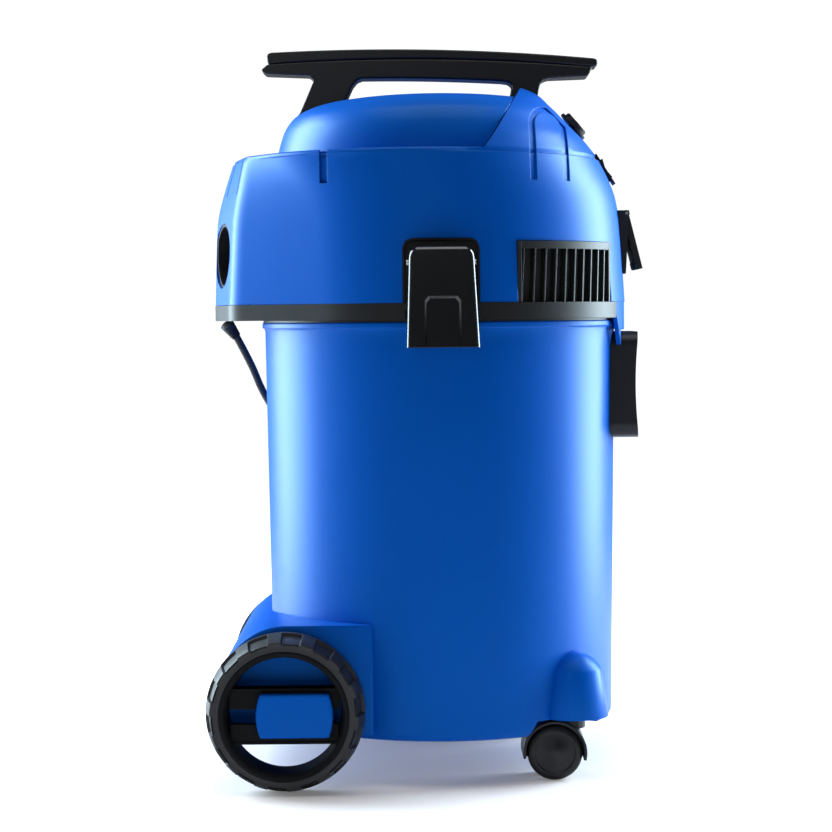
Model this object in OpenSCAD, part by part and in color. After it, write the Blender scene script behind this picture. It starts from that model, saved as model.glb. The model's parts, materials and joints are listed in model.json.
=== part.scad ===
// Shop vacuum: plastic tank on two rear wheels and two front castors, motor head with handle,
// tool socket and side latches, suction inlet at the front and blower port at the rear.
// X points forward, Y to the machine's left, Z up from the floor.

/* [Tank] */
// Outer radius of the tank at its rim
tank_top_r = 163.5; // [150:0.5:180]
// Outer radius of the tank at its bottom
tank_bottom_r = 159; // [145:0.5:175]
// Height of the tank's bottom above the floor
tank_bottom_z = 41; // [38:1:50]
// Height of the tank from its bottom to its rim
tank_h = 368; // [330:1:430]
// Thickness of the tank's wall
tank_wall = 3; // [2.5:0.5:4]

/* [Rear wheels] */
// Radius of the rear wheels over the tread
wheel_r = 69.7; // [60:0.1:75]
// Distance of the rear axle behind the tank's axis
axle_back = 139.5; // [130:0.5:150]
// Overall width over the two rear wheels
track_w = 370; // [360:1:400]
// Width of one rear wheel
wheel_w = 32; // [28:1:40]
// Radius of the steel axle
axle_r = 6; // [4:0.5:8]

/* [Castors] */
// Radius of the castor wheels
castor_r = 24.6; // [20:0.2:25]
// Distance of the castor stems in front of the tank's axis
castor_x = 112; // [105:1:116]
// Distance of the castor stems from the middle plane
castor_y = 108; // [100:1:112]
// Trail of the castor axle behind its stem
castor_trail = 14; // [8:1:18]

/* [Head] */
// Radius of the head's round part at the lower band
head_r = 172.5; // [168:0.5:185]
// Height of the lower band
band_h = 14.5; // [12:0.5:20]
// Height of the rim of the head above the tank's rim
head_h = 151; // [130:1:180]
// Distance of the rear ridge of the head behind the tank's axis
head_back = 211.5; // [200:0.5:230]
// Thickness of the head's shell
head_wall = 3; // [2.5:0.5:4]
// Radius of the blower port
blower_r = 30; // [24:1:34]

/* [Handle] */
// Height of the handle's highest point above the floor
handle_top_z = 661.8; // [640:0.2:690]
// Width of the handle
handle_w = 30; // [24:1:40]

/* [Latches] */
// Width of each latch
latch_w = 62; // [50:1:76]
// Height of each latch
latch_h = 84; // [76:1:90]

/* [Front fittings] */
// Diameter of the power dial
dial_d = 31; // [24:1:40]
// Length of the rocker switch
rocker_l = 29; // [22:1:32]
// Width of the tool socket's base
socket_w = 58; // [50:1:66]
// Angle at which the socket flap stands open
flap_rest = 14; // [12:1:20]
// Inner radius of the suction inlet
inlet_r = 27; // [20:0.5:32]

/* [Motor] */
// Radius of the motor's can
motor_r = 58; // [45:1:64]
// Height of the motor's can
motor_h = 84; // [70:1:95]

/* [Filter] */
// Outer radius of the filter cartridge
filter_r = 76; // [60:1:90]
// Length of the filter cartridge
filter_h = 150; // [110:1:190]

/* [Hidden] */

blue = [0.05, 0.36, 0.80];
light_blue = [0.12, 0.45, 0.88];
black = [0.06, 0.06, 0.07];
dark_grey = [0.16, 0.17, 0.19];
steel = [0.72, 0.73, 0.75];
cream = [0.90, 0.88, 0.80];

axis_x = 12.27;             // the tank's axis stands this far in front of the machine's middle
slack = 0.3;                // gap between pieces on different bodies
run = 0.05;                 // radial clearance of a running fit
round_fn = 96;

tank_rim_z = tank_bottom_z + tank_h;
rim_bead = 2.5;
rim_bead_h = 6;
drum_r = wheel_r + 4.3;     // rear housing that the wheels stand beside
wheel_out_y = track_w / 2;
wheel_in_y = wheel_out_y - wheel_w;
drum_y = wheel_in_y - 2.5;  // half the width of the rear housing
drum_front = 77;            // how far the housing reaches in front of the axle
axle_z = wheel_r;
hub_r = 15;
hub_out_y = wheel_out_y - 14;
clip_t = 2;
tyre_in_r = wheel_r - 13.2;
lip_r = wheel_r - 18.4;
tread_lugs = 14;
lug_gap = 17;
badge_w = 66.8;
badge_h = 38;
badge_off = 9;

foot_r = 31.4;              // boss over each castor: conical, with a low roof
foot_roof_r = 25;
foot_bottom_z = 54.5;
foot_roof_z = 97.5;
foot_top_z = 114;
foot_out = 4;               // the boss stands this far in front of the castor's stem
pocket_r = [50, 41];        // hollow under the tank that the castor swivels in
pocket_wall = 3;
split_z = 58;               // level between the drum's wall and its floor
stem_r = 5;
sleeve_r = 7.5;
castor_hood_r = castor_r + 7;
castor_half_w = 22;
castor_pin_r = 3;

gasket_t = 2;
band_z = tank_rim_z + gasket_t;
shell_z = band_z + band_h;
rim_z = tank_rim_z + head_h;
deck_z = shell_z - 6;       // the motor deck inside the lower band
deck_t = 4;
groove_depth = 1.6;
dome_r = 148;
grille_from = 23;           // angles of the side grille, from straight sideways to the front
grille_to = 63;
grille_top_z = shell_z + 53;
grille_slots = 10;
grille_slot_w = 8;

latch_bottom_z = tank_rim_z - 22;
latch_pin_z = latch_bottom_z + latch_h - 11;
latch_pin_y = head_r + 1.5;
latch_pin_r = 2.5;
latch_out_y = head_r + 17.5;
latch_t = 9;
latch_cheek_t = 4;
latch_ear_r = 6.5;
latch_pocket_wall = 1.6;
latch_pocket_w = latch_w + 1 + 2 * latch_pocket_wall;
latch_pocket_top = latch_bottom_z + latch_h + 10;
hook_h = 6;
hook_w = 44;
catch_h = 8;
catch_w = 40;
catch_out = 8.5;

dial_at = [125, 0, 588.5];
dial_tilt = 49.5;           // from straight up towards the front
dial_t = 6.5;
rocker_at = [154.3, 0, 548.3];
rocker_tilt = 57.6;
bezel_margin = 2.2;
rocker_pin_r = 1.5;
socket_z = [451.5, 510];
socket_front = 175.3;
flap_pin_at = [174, 0, 507.3];
flap_pin_r = 1.5;
flap_l = 53;
flap_t = 5.8;
flap_out = 2.2;             // outer face of the flap in front of its pin
flap_w = socket_w - 13;
flap_knuckle_r = 3.2;

inlet_z = [300, 398];
inlet_mid_z = (inlet_z[0] + inlet_z[1]) / 2;
inlet_w = 94;
inlet_front = 182.5;
inlet_tube_t = 3;
inlet_dish_r = 400;         // the block's outer face is slightly hollow

motor_z = deck_z + deck_t + 26;
shaft_r = 4;
fan_r = 62;
cowl_r = 92;
cowl_top_z = motor_z + motor_h + 14;
eye_r = 34;                 // suction eye in the motor deck
filter_top_z = deck_z;
float_r = 20;
cage_r = 30;

blower_turn = 15.6;         // how far the rear facets turn from straight back
blower_at = [-200.5, -30, 471];
grip_at = [-197.5, 8, 404];

cord_r = 3.5;
cord_path = [
    [-192, 13, 396], [-187, 17, 386], [-178, 27, 366], [-170, 41, 344], [-158, 67, 320],
    [-138, 97, 292], [-112, 124, 258], [-84, 146, 218], [-58, 161, 178], [-40, 171, 140],
    [-30, 178, 100], [-25, 183, 62], [-24, 189, 32], [-26, 200, 12], [-29, 214, 3.6],
    [-31, 232, 3.6], [-32, 250, 3.6], [-32, 264, 3.6]];
cord_sides = 8;
coil_at = [20, 268];
coil_mid_r = 42;
coil_w = 35;                // five turns beside each other, four on each other
coil_h = 28;

// ---------- shared shapes ----------

module on_axis() { translate([axis_x, 0, 0]) children(); }
module both_sides() { children(); mirror([0, 1, 0]) children(); }

// 2-D outline of the head at one level: a circle with a two-sided tail to the rear
module head_plan(r, cx, back, corner, half) {
    translate([cx, 0]) circle(r = r, $fn = round_fn);
    polygon([[cx - 0.45 * r, -0.89 * r], [-corner, -half], [-back, 0], [-corner, half], [cx - 0.45 * r, 0.89 * r]]);
}

// Levels of the head: [height above the band's foot as a share, circle radius, circle centre, back, corner, half]
function head_levels(g) = [
    [0, head_r - g, 1.8, head_back - g, head_back - 21 - g, 72 - g / 2],
    [0.45, head_r - 1.8 - g, -0.5, head_back - 2 - g, head_back - 25 - g, 72 - g / 2],
    [0.64, head_r - 2.6 - g, -2.2, head_back - 4 - g, head_back - 27 - g, 71 - g / 2],
    [0.80, head_r - 3.8 - g, -6.4, head_back - 10 - g, head_back - 31 - g, 70 - g / 2],
    [1, head_r - 5.5 - g, -19, head_back - 20 - g, head_back - 36 - g, 68 - g / 2]];

module head_body(g, low, high) {
    hull() for (l = head_levels(g))
        translate([0, 0, low + l[0] * (high - low)])
            linear_extrude(0.01) head_plan(l[1], l[2], l[3], l[4], l[5]);
}

// Raised front of the head that carries the handle's front post, the dial and the rocker.
// Levels: [height above the rim, circle radius, circle centre, rear edge, half width]
horn_levels = [
    [-42, head_r - 3.8, -6.4, 30, 200],
    [0, head_r - 5.5, -19, 37, 200],
    [27, 132, -8, 57, 118],
    [40, 119, -4.5, 66, 100],
    [50, 107, -5.5, 71, 80],
    [62, 84, 5, 77, 58]];

module horn(g) {
    hull() for (l = horn_levels)
        translate([0, 0, rim_z + l[0] - g]) linear_extrude(0.01) intersection() {
            translate([l[2], 0]) circle(r = l[1] - g, $fn = round_fn);
            translate([l[3] + g, -l[4] + g]) square([300, 2 * (l[4] - g)]);
        }
}

// Ring sector between two angles, measured from straight ahead
module sector_ring(r_in, r_out, z0, z1, from, to) {
    translate([0, 0, z0]) rotate([0, 0, from])
        rotate_extrude(angle = to - from, $fn = round_fn)
            translate([r_in, 0]) square([r_out - r_in, z1 - z0]);
}

module tank_cone(g, z0, z1) {
    r0 = tank_bottom_r + (tank_top_r - tank_bottom_r) * (z0 - tank_bottom_z) / tank_h - g;
    r1 = tank_bottom_r + (tank_top_r - tank_bottom_r) * (z1 - tank_bottom_z) / tank_h - g;
    translate([0, 0, z0]) cylinder(r1 = r0, r2 = r1, h = z1 - z0, $fn = round_fn);
}

module tilted(at, tilt) { translate(at) rotate([0, tilt, 0]) children(); }

module cyl_y(r, y0, y1, fn = 64) {
    translate([0, y0, 0]) rotate([-90, 0, 0]) cylinder(r = r, h = y1 - y0, $fn = fn);
}

// ---------- tank and running gear ----------

module tank_body() {
    rotate_extrude($fn = round_fn) polygon([
        [0, tank_bottom_z + 4], [tank_bottom_r - 12, tank_bottom_z + 4], [tank_bottom_r - 14, tank_bottom_z],
        [tank_bottom_r - 2, tank_bottom_z], [tank_bottom_r, tank_bottom_z + 3],
        [tank_top_r, tank_rim_z - rim_bead_h], [tank_top_r + rim_bead, tank_rim_z - rim_bead_h + 1],
        [tank_top_r + rim_bead, tank_rim_z], [tank_top_r - tank_wall, tank_rim_z],
        [tank_bottom_r - tank_wall, tank_bottom_z + 14], [tank_bottom_r - 12, tank_bottom_z + 8],
        [0, tank_bottom_z + 8]]);
}

// Side outline of the rear housing, in X and Z
module housing_side(g) {
    translate([-axle_back, axle_z]) circle(r = drum_r - g, $fn = round_fn);
    translate([-axle_back, tank_bottom_z + 5 + g])
        square([drum_front - g, axle_z + drum_r - tank_bottom_z - 5 - 2 * g]);
}

module housing(g, half) {
    translate([0, half, 0]) rotate([90, 0, 0]) linear_extrude(2 * half) housing_side(g);
}

module foot_bump() {
    translate([castor_x + foot_out, -castor_y, 0]) rotate_extrude($fn = 64) polygon([
        [0, foot_bottom_z], [foot_r, foot_bottom_z], [foot_roof_r, foot_roof_z],
        [foot_roof_r - 5, foot_roof_z + 6.5], [foot_roof_r - 13, foot_top_z - 3.5], [0, foot_top_z]]);
}

module castor_pocket(g, z0, z1) {
    translate([castor_x, -castor_y, z0]) cylinder(r1 = pocket_r[0] + g, r2 = pocket_r[1] + g, h = z1 - z0, $fn = 64);
}

module sleeve_hole() {
    translate([castor_x, -castor_y, foot_bottom_z - 1]) cylinder(r = sleeve_r, h = 43, $fn = 48);
}

module axle_hole() {
    translate([-axle_back, 0, axle_z]) cyl_y(axle_r + 0.2, -drum_y - 1, drum_y + 1);
}

module below_split() { cylinder(r = tank_top_r + 60, h = split_z); }

// The drum is one moulding. It is listed as its wall, its floor, the axle's housing and the bosses.
module tank() color(blue) on_axis() difference() {
    tank_body();
    below_split();
    both_sides() foot_bump();
    axle_hole();
    translate([120, 0, inlet_mid_z]) rotate([0, 90, 0]) cylinder(r = inlet_r + inlet_tube_t, h = 60, $fn = 64);
}

module tank_floor() color(blue) on_axis() difference() {
    union() {
        intersection() {
            union() {
                tank_body();
                both_sides() foot_bump();
            }
            below_split();
        }
        both_sides() intersection() {
            castor_pocket(pocket_wall, tank_bottom_z + 3, foot_bottom_z + pocket_wall);
            tank_cone(0.5, tank_bottom_z, tank_rim_z);
        }
    }
    both_sides() castor_pocket(0, tank_bottom_z - 1, foot_bottom_z);
    both_sides() sleeve_hole();
}

module axle_housing() color(blue) on_axis() difference() {
    housing(0, drum_y);
    housing(tank_wall, drum_y - tank_wall);
    translate([-250, -drum_y - 1, -10]) cube([300, 2 * drum_y + 2, tank_bottom_z + 15]);
    tank_cone(0, tank_bottom_z - 2, tank_rim_z - 30);
    axle_hole();
}

module castor_bosses() color(blue) on_axis() both_sides() difference() {
    foot_bump();
    below_split();
    sleeve_hole();
}

// Ledges on the tank's sides that the latches hook under
module tank_catches() color(blue) on_axis() both_sides() difference() {
    intersection() {
        translate([-catch_w / 2, -tank_top_r - catch_out, tank_rim_z - rim_bead_h - catch_h])
            cube([catch_w, 20, catch_h]);
        cylinder(r = tank_top_r + catch_out, h = tank_rim_z, $fn = round_fn);
    }
    tank_cone(-0.1, tank_bottom_z, tank_rim_z);
}

module inlet_fitting() color(black) on_axis() difference() {
    translate([0, 0, inlet_mid_z]) rotate([0, 90, 0])
        translate([0, 0, 120]) linear_extrude(inlet_front - 120) rounded_rect(inlet_z[1] - inlet_z[0], inlet_w, 14);
    tank_cone(-0.1, tank_bottom_z, tank_rim_z);
    translate([100, 0, inlet_mid_z]) rotate([0, 90, 0]) cylinder(r = inlet_r, h = 120, $fn = 64);
    translate([inlet_front + inlet_dish_r - 3, 0, inlet_mid_z]) cyl_y(inlet_dish_r, -100, 100, 180);
}

module rounded_rect(a, b, r) {
    square([a - 2 * r, b], center = true);
    square([a, b - 2 * r], center = true);
    for (x = [-1, 1], y = [-1, 1]) translate([x * (a / 2 - r), y * (b / 2 - r)]) circle(r = r, $fn = 32);
}

// Elbow inside the tank that turns the incoming air down and along the wall
module inlet_deflector() color(black) on_axis() translate([0, 0, inlet_mid_z]) difference() {
    union() {
        translate([112, 0, 0]) rotate([0, 90, 0]) cylinder(r = inlet_r + inlet_tube_t, h = 45, $fn = 64);
        translate([153, 0, 0]) rotate([0, 90, 0]) cylinder(r = inlet_r + 8, h = 3, $fn = 64);
    }
    translate([116, 0, 0]) rotate([0, 90, 0]) cylinder(r = inlet_r, h = 60, $fn = 64);
    translate([108, -12, -60]) cube([24, 24, 50]);
}

module rear_axle() color(steel) on_axis() translate([-axle_back, 0, axle_z])
    cyl_y(axle_r, -hub_out_y - 3, hub_out_y + 3);

module axle_clips() color(steel) on_axis() both_sides() translate([-axle_back, 0, axle_z]) difference() {
    cyl_y(axle_r + 4, -hub_out_y - slack - clip_t, -hub_out_y - slack);
    cyl_y(axle_r, -hub_out_y - 10, -hub_out_y + 10);
}

module castor_sleeves() color(dark_grey) on_axis() both_sides()
    translate([castor_x, -castor_y, foot_bottom_z]) difference() {
        cylinder(r = sleeve_r, h = 42, $fn = 48);
        translate([0, 0, -1]) cylinder(r = stem_r + run, h = 41, $fn = 48);
    }

module at_wheel() { translate([-axle_back, 0, axle_z]) children(); }

module wheel_tyre() color(black) on_axis() at_wheel() difference() {
    rotate([90, 0, 0]) rotate_extrude($fn = round_fn) polygon([
        [tyre_in_r, wheel_in_y], [wheel_r - 1, wheel_in_y], [wheel_r, wheel_in_y + 1.5],
        [wheel_r, wheel_out_y - 24], [wheel_r - 2.5, wheel_out_y - 10], [wheel_r - 5.5, wheel_out_y - 0.6],
        [wheel_r - 6.5, wheel_out_y], [tyre_in_r, wheel_out_y]]);
    for (i = [0:tread_lugs - 1]) rotate([0, i * 360 / tread_lugs, 0])
        translate([-lug_gap / 2, -wheel_out_y - 1, lip_r + 10.2]) cube([lug_gap, 12, 12]);
}

module wheel_rim() color(black) on_axis() at_wheel() difference() {
    union() {
        difference() {
            cyl_y(tyre_in_r, -wheel_out_y + 0.5, -wheel_in_y, round_fn);
            cyl_y(lip_r, -wheel_out_y - 1, -wheel_in_y + 1, round_fn);
        }
        intersection() {
            for (s = [-1, 1])
                translate([-lip_r - 2, -wheel_out_y + 8, s * 15.5 - 9.2]) cube([2 * lip_r + 4, 9, 18.4]);
            cyl_y(tyre_in_r - 1, -wheel_out_y, -wheel_in_y, round_fn);
        }
        cyl_y(hub_r, -hub_out_y, -wheel_in_y);
    }
    cyl_y(axle_r + run, -wheel_out_y - 1, -wheel_in_y + 1);
    cyl_y(axle_r + 5, -wheel_out_y - 1, -hub_out_y);
}

// Plain snap-on cover over the end of the axle, set a little off the wheel's middle
module wheel_badge() color(blue) on_axis() at_wheel() difference() {
    intersection() {
        translate([badge_off - badge_w / 2, -wheel_out_y + 1, -badge_h / 2]) cube([badge_w, 7, badge_h]);
        translate([badge_off, 0, 0]) cyl_y(badge_w / 2 + 2.6, -wheel_out_y, 0, round_fn);
    }
    cyl_y(axle_r + 4.5, -hub_out_y - 6, -hub_out_y + 1);
}

module castor_hood() color(black) on_axis() translate([castor_x, -castor_y, 0]) {
    difference() {
        union() {
            translate([0, 0, castor_r + castor_hood_r - 7]) cylinder(r = 14, h = foot_bottom_z - 0.5
                - castor_r - castor_hood_r + 7, $fn = 48);
            translate([-castor_trail, 0, castor_r]) intersection() {
                difference() {
                    cyl_y(castor_hood_r - 3, -castor_half_w, castor_half_w);
                    for (s = [-1, 1]) translate([0, s * 20, 0]) cyl_y(castor_r + 1.5, -14, 14);
                }
                translate([-50, -50, -6]) cube(100);
            }
        }
        translate([-castor_trail, 0, castor_r]) cyl_y(castor_pin_r, -30, 30);
        translate([0, 0, castor_r + castor_hood_r - 14]) cylinder(r = stem_r, h = 60, $fn = 48);
    }
}

module castor_stem() color(steel) on_axis()
    translate([castor_x, -castor_y, castor_r + castor_hood_r - 14])
        cylinder(r = stem_r, h = foot_bottom_z + 38 - castor_r - castor_hood_r + 14, $fn = 48);

module castor_axle() color(steel) on_axis() translate([castor_x - castor_trail, -castor_y, castor_r])
    cyl_y(castor_pin_r, -castor_half_w + 2, castor_half_w - 2);

module castor_wheels() color(black) on_axis() translate([castor_x - castor_trail, -castor_y, castor_r])
    for (s = [0, 1]) mirror([0, s, 0]) rotate([90, 0, 0]) rotate_extrude($fn = 64) polygon([
        [castor_pin_r + run, 6.4], [castor_r - 2, 6.4], [castor_r, 8], [castor_r, 17], [castor_r - 2.5, 20.5],
        [castor_r - 7, castor_half_w], [castor_pin_r + run, castor_half_w]]);

// ---------- head ----------

// Black lining of the recess behind a latch, with the two ears that hold the latch's pin
module latch_bracket() {
    back = latch_pin_y - 12.5;
    difference() {
        translate([-latch_pocket_w / 2, -head_r + 1, deck_z])
            cube([latch_pocket_w, head_r - 1 - back + latch_pocket_wall, latch_pocket_top - deck_z]);
        translate([-latch_pocket_w / 2 + latch_pocket_wall, -head_r, deck_z - 1])
            cube([latch_pocket_w - 2 * latch_pocket_wall, head_r - back,
                latch_pocket_top - latch_pocket_wall - deck_z + 1]);
    }
    for (s = [-1, 1]) translate([s * 23.5 - 3.5, -latch_pin_y, latch_pin_z]) {
        translate([0, 0, -latch_ear_r]) cube([7, latch_pin_y + 0.5 - back, 2 * latch_ear_r]);
        rotate([0, 90, 0]) cylinder(r = latch_ear_r, h = 7, $fn = 32);
    }
}

module lower_band() color(dark_grey) on_axis() difference() {
    union() {
        translate([0, 0, band_z]) linear_extrude(band_h) difference() {
            head_plan(head_r, 1.8, head_back, head_back - 21, 72);
            head_plan(head_r - 4, 1.8, head_back - 4, head_back - 25, 70);
        }
        translate([0, 0, deck_z]) linear_extrude(deck_t)
            head_plan(head_r - 3, 1.8, head_back - 3, head_back - 24, 70.5);
        both_sides() difference() {
            sector_ring(head_r - 7, head_r + 0.3, shell_z - 2, grille_top_z, grille_from - 90, grille_to - 90);
            for (i = [0:grille_slots - 1])
                rotate([0, 0, grille_from - 90 + (grille_to - grille_from) * (i + 0.62) / (grille_slots + 0.24)])
                    translate([head_r - 12, -grille_slot_w / 2, shell_z + 1])
                        cube([20, grille_slot_w, grille_top_z - shell_z - 7]);
        }
        both_sides() latch_bracket();
        translate([0, 0, band_z]) difference() {
            cylinder(r = tank_top_r + rim_bead - 1, h = deck_z - band_z + 0.5, $fn = round_fn);
            translate([0, 0, -1]) cylinder(r = tank_top_r - tank_wall - 4, h = 20, $fn = round_fn);
        }
    }
    translate([0, 0, deck_z - 1]) cylinder(r = eye_r, h = 8, $fn = 64);
    sector_ring(tank_top_r + rim_bead, head_r + 10, band_z - 1, shell_z, -23.2, 23.2);
    both_sides() translate([0, -latch_pin_y, latch_pin_z]) rotate([0, 90, 0])
        translate([0, 0, -40]) cylinder(r = latch_pin_r + run, h = 80, $fn = 32);
    both_sides() translate([-latch_w / 2 - 0.5, -head_r - 6, band_z - 1])
        cube([latch_w + 1, 12, band_h - 5]);
    deck_screw_spots() translate([0, 0, deck_z - 1]) cylinder(r = 2.3, h = 8, $fn = 24);
    grip_line() cylinder(r = 7, h = 60, center = true, $fn = 32);
}

module head_gasket() color(black) on_axis() translate([0, 0, tank_rim_z]) difference() {
    cylinder(r = tank_top_r + rim_bead - 1, h = gasket_t, $fn = round_fn);
    translate([0, 0, -1]) cylinder(r = tank_top_r - tank_wall - 4, h = gasket_t + 2, $fn = round_fn);
}

module deck_screw_spots() {
    for (p = [[-178, -40], [-178, 40], [128, -58], [128, 58]]) translate([p[0], p[1], 0]) children();
}

module head_screws() color(steel) on_axis() deck_screw_spots() {
    translate([0, 0, deck_z - 2.5]) cylinder(r = 4, h = 2.5, $fn = 24);
    translate([0, 0, deck_z - 2.5]) cylinder(r = 2.2, h = 22, $fn = 24);
}

module at_blower() { translate(blower_at) rotate([0, 0, blower_turn]) rotate([0, -90, 0]) children(); }

module shell_slots() {
    both_sides() {
        translate([-105, -180, rim_z - 30]) cube([6.6, 60, 40]);
        translate([-190, -62, rim_z - 40]) rotate([0, 14, 0]) cube([30, 2.4, 60], center = true);
        translate([-200, -22, rim_z - 36]) rotate([0, 14, 0]) cube([30, 2.4, 60], center = true);
    }
}

// Horseshoe groove on the side of the raised front, open to the sides
module horseshoe() {
    translate([97, -210, rim_z - 31]) rotate([-90, 0, 0]) linear_extrude(90) difference() {
        union() {
            translate([0, -50]) circle(r = 18, $fn = 48);
            translate([-18, -50]) square([36, 50]);
        }
        translate([0, -50]) circle(r = 12, $fn = 48);
        translate([-12, -50]) square([24, 60]);
    }
}

module apron() {
    difference() {
        sector_ring(tank_top_r + rim_bead + 6, tank_top_r + rim_bead + 10, tank_rim_z - 24, band_z + 1, -23, 23);
        translate([100, -inlet_w / 2 - 1.5, 0]) cube([150, inlet_w + 3, inlet_z[1] + 2]);
    }
}

module head_shell() color(blue) on_axis() difference() {
    union() {
        difference() {
            union() {
                head_body(0, band_z, rim_z);
                horn(0);
            }
            difference() {
                head_body(head_wall, band_z - 3, rim_z - head_wall);
                translate([-300, -300, 0]) cube([600, 600, shell_z - 1]);
            }
            horn(head_wall);
            translate([-300, -300, 0]) cube([600, 600, shell_z]);
            translate([0, 0, rim_z - 10]) cylinder(r = dome_r, h = 10.1, $fn = round_fn);
        }
        apron();
        difference() {
            sector_ring(tank_top_r + rim_bead + 4, head_r + 2.5, band_z, shell_z + 0.5, -22, 22);
            translate([100, -inlet_w / 2 - 1.5, 0]) cube([150, inlet_w + 3, inlet_z[1] + 2]);
        }
    }
    at_blower() cylinder(r = blower_r, h = 60, center = true, $fn = 64);
    both_sides() translate([-latch_pocket_w / 2, -head_r - 20, shell_z - 1])
        cube([latch_pocket_w, 36, latch_pocket_top - shell_z + 1]);
    both_sides() sector_ring(head_r - 12, head_r + 12, shell_z - 1, grille_top_z, grille_from - 90, grille_to - 90);
    shell_slots();
    difference() {
        both_sides() horseshoe();
        head_body(groove_depth, band_z, rim_z);
        horn(groove_depth);
    }
    post_holes();
    tilted(dial_at, dial_tilt) cylinder(r = 4.3, h = 30, center = true, $fn = 32);
    tilted(rocker_at, rocker_tilt) cube([rocker_l - 4, 14, 40], center = true);
    translate([socket_front - 20, -socket_w / 2 + 5, socket_z[0] + 5])
        cube([30, socket_w - 10, socket_z[1] - socket_z[0] - 10]);
}

module dome_solid(g) {
    hull() for (l = [[-2, dome_r, 0], [17, 144, -2], [41, 130, -3], [50, 105, -3], [56, 60, -3]])
        translate([l[2], 0, rim_z + l[0] - (l[0] > 0 ? g : 0)])
            cylinder(r = l[1] - g, h = 0.01, $fn = round_fn);
}

module post_holes() {
    for (x = post_x) translate([x, 0, rim_z + 20]) cylinder(r = 3, h = 50, $fn = 24);
}

module top_dome() color(light_blue) on_axis() difference() {
    dome_solid(0);
    difference() {
        dome_solid(head_wall);
        translate([0, 0, rim_z - 100]) cylinder(r = 200, h = 95, $fn = 32);
    }
    translate([0, 0, rim_z - 30]) cylinder(r = dome_r - head_wall, h = 30, $fn = round_fn);
    horn_side_cut();
    post_holes();
}

// Everything in front of the raised front's rear edge
module horn_side_cut() {
    rotate([90, 0, 0]) translate([0, 0, -200]) linear_extrude(400) hull() polygon([
        for (l = horn_levels) [l[3], rim_z + l[0]], [300, rim_z + 62], [300, rim_z - 42]]);
    translate([77, -200, rim_z + 61]) cube([200, 400, 60]);
}

// ---------- handle ----------

post_x = [-101, 80];

function handle_top(x) = handle_top_z - pow(x + 60, 2) * 0.00024;
function handle_seam(x) = handle_top_z - 9.4 - pow(x + 40, 2) * 0.00026;
function handle_under(x) = handle_top_z - 27 - pow(x + 60, 2) * 0.00026;
handle_x = [-164, 149];
function steps(a, b, n) = [for (i = [0:n]) a + (b - a) * i / n];

module handle_extrude() {
    translate([0, handle_w / 2, 0]) rotate([90, 0, 0]) linear_extrude(handle_w) children();
}

module handle_upper() color(black) on_axis() handle_extrude() polygon(concat(
    [for (x = steps(handle_x[0] + 6.5, handle_x[1] - 5.5, 16)) [x, handle_seam(x)]],
    [[handle_x[1], handle_top(handle_x[1]) - 0.5]],
    [for (x = steps(handle_x[1] - 2, handle_x[0] + 8, 16)) [x, handle_top(x)]],
    [[handle_x[0] + 7, handle_top(handle_x[0]) - 2]]));

module handle_lower() color(black) on_axis() difference() {
    handle_extrude() polygon(concat(
        [for (x = steps(handle_x[0] + 6.5, handle_x[1] - 5.5, 16)) [x, handle_seam(x)]],
        [[141.7, 638], [139.3, 634.7], [103.6, 633.6], [96, 629], [94, 622], [92, 606], [64, 606], [70, 630.5]],
        [for (x = steps(66, -75, 8)) [x, handle_under(x)]],
        [[-87, 612], [-90, 600], [-130, 600], [-128, 604], [-115, 633], [-119.2, 638], [-160, 639.8],
            [-164, 643.6]]));
    dome_solid(0);
    horn(0);
    for (x = post_x) translate([x, 0, rim_z + 20]) cylinder(r = 2, h = 72, $fn = 24);
}

module handle_screws() color(steel) on_axis() for (p = [[post_x[0], 37], [post_x[1], 44]])
    translate([p[0], 0, rim_z + p[1]]) {
        cylinder(r = 2, h = 30, $fn = 24);
        cylinder(r = 4.5, h = 3, $fn = 24);
    }

// ---------- latches ----------

module latch_pins() color(steel) on_axis() both_sides() translate([0, -latch_pin_y, latch_pin_z])
    rotate([0, 90, 0]) translate([0, 0, -latch_w / 2 + 1]) cylinder(r = latch_pin_r, h = latch_w - 2, $fn = 32);

module latch() color(black) on_axis() difference() {
    union() {
        translate([-latch_w / 2, -latch_out_y, latch_bottom_z]) cube([latch_w, latch_t, latch_h]);
        for (s = [0, 1]) mirror([s, 0, 0])
            translate([-latch_w / 2, -latch_out_y, latch_pin_z - 20])
                cube([latch_cheek_t, latch_out_y - latch_pin_y + 3, 31]);
        translate([-hook_w / 2, -latch_out_y, latch_bottom_z])
            cube([hook_w, latch_out_y - tank_top_r - 4.5, hook_h]);
    }
    translate([-latch_w, -latch_pin_y, latch_pin_z]) rotate([0, 90, 0])
        cylinder(r = latch_pin_r + run, h = 2 * latch_w, $fn = 32);
    translate([-20.5, -latch_out_y - 1, latch_bottom_z - 1]) cube([41, 3, 44]);
}

// ---------- front controls ----------

module power_dial() color(black) on_axis() tilted(dial_at, dial_tilt) difference() {
    union() {
        translate([0, 0, 0.6]) cylinder(d = dial_d, h = 2.4, $fn = 48);
        translate([0, 0, 0.6]) cylinder(d = dial_d - 6, h = dial_t - 0.6, $fn = 48);
        translate([-dial_d / 2 + 4, -2.5, 1]) cube([dial_d - 8, 5, dial_t]);
    }
    translate([0, 0, -1]) cylinder(r = 3 + run, h = 5, $fn = 32);
}

module dial_control() color(dark_grey) on_axis() tilted(dial_at, dial_tilt) {
    translate([0, 0, -19]) cylinder(r = 11, h = 11, $fn = 48);
    translate([0, 0, -19]) cylinder(r = 3, h = 22.5, $fn = 32);
}

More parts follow.
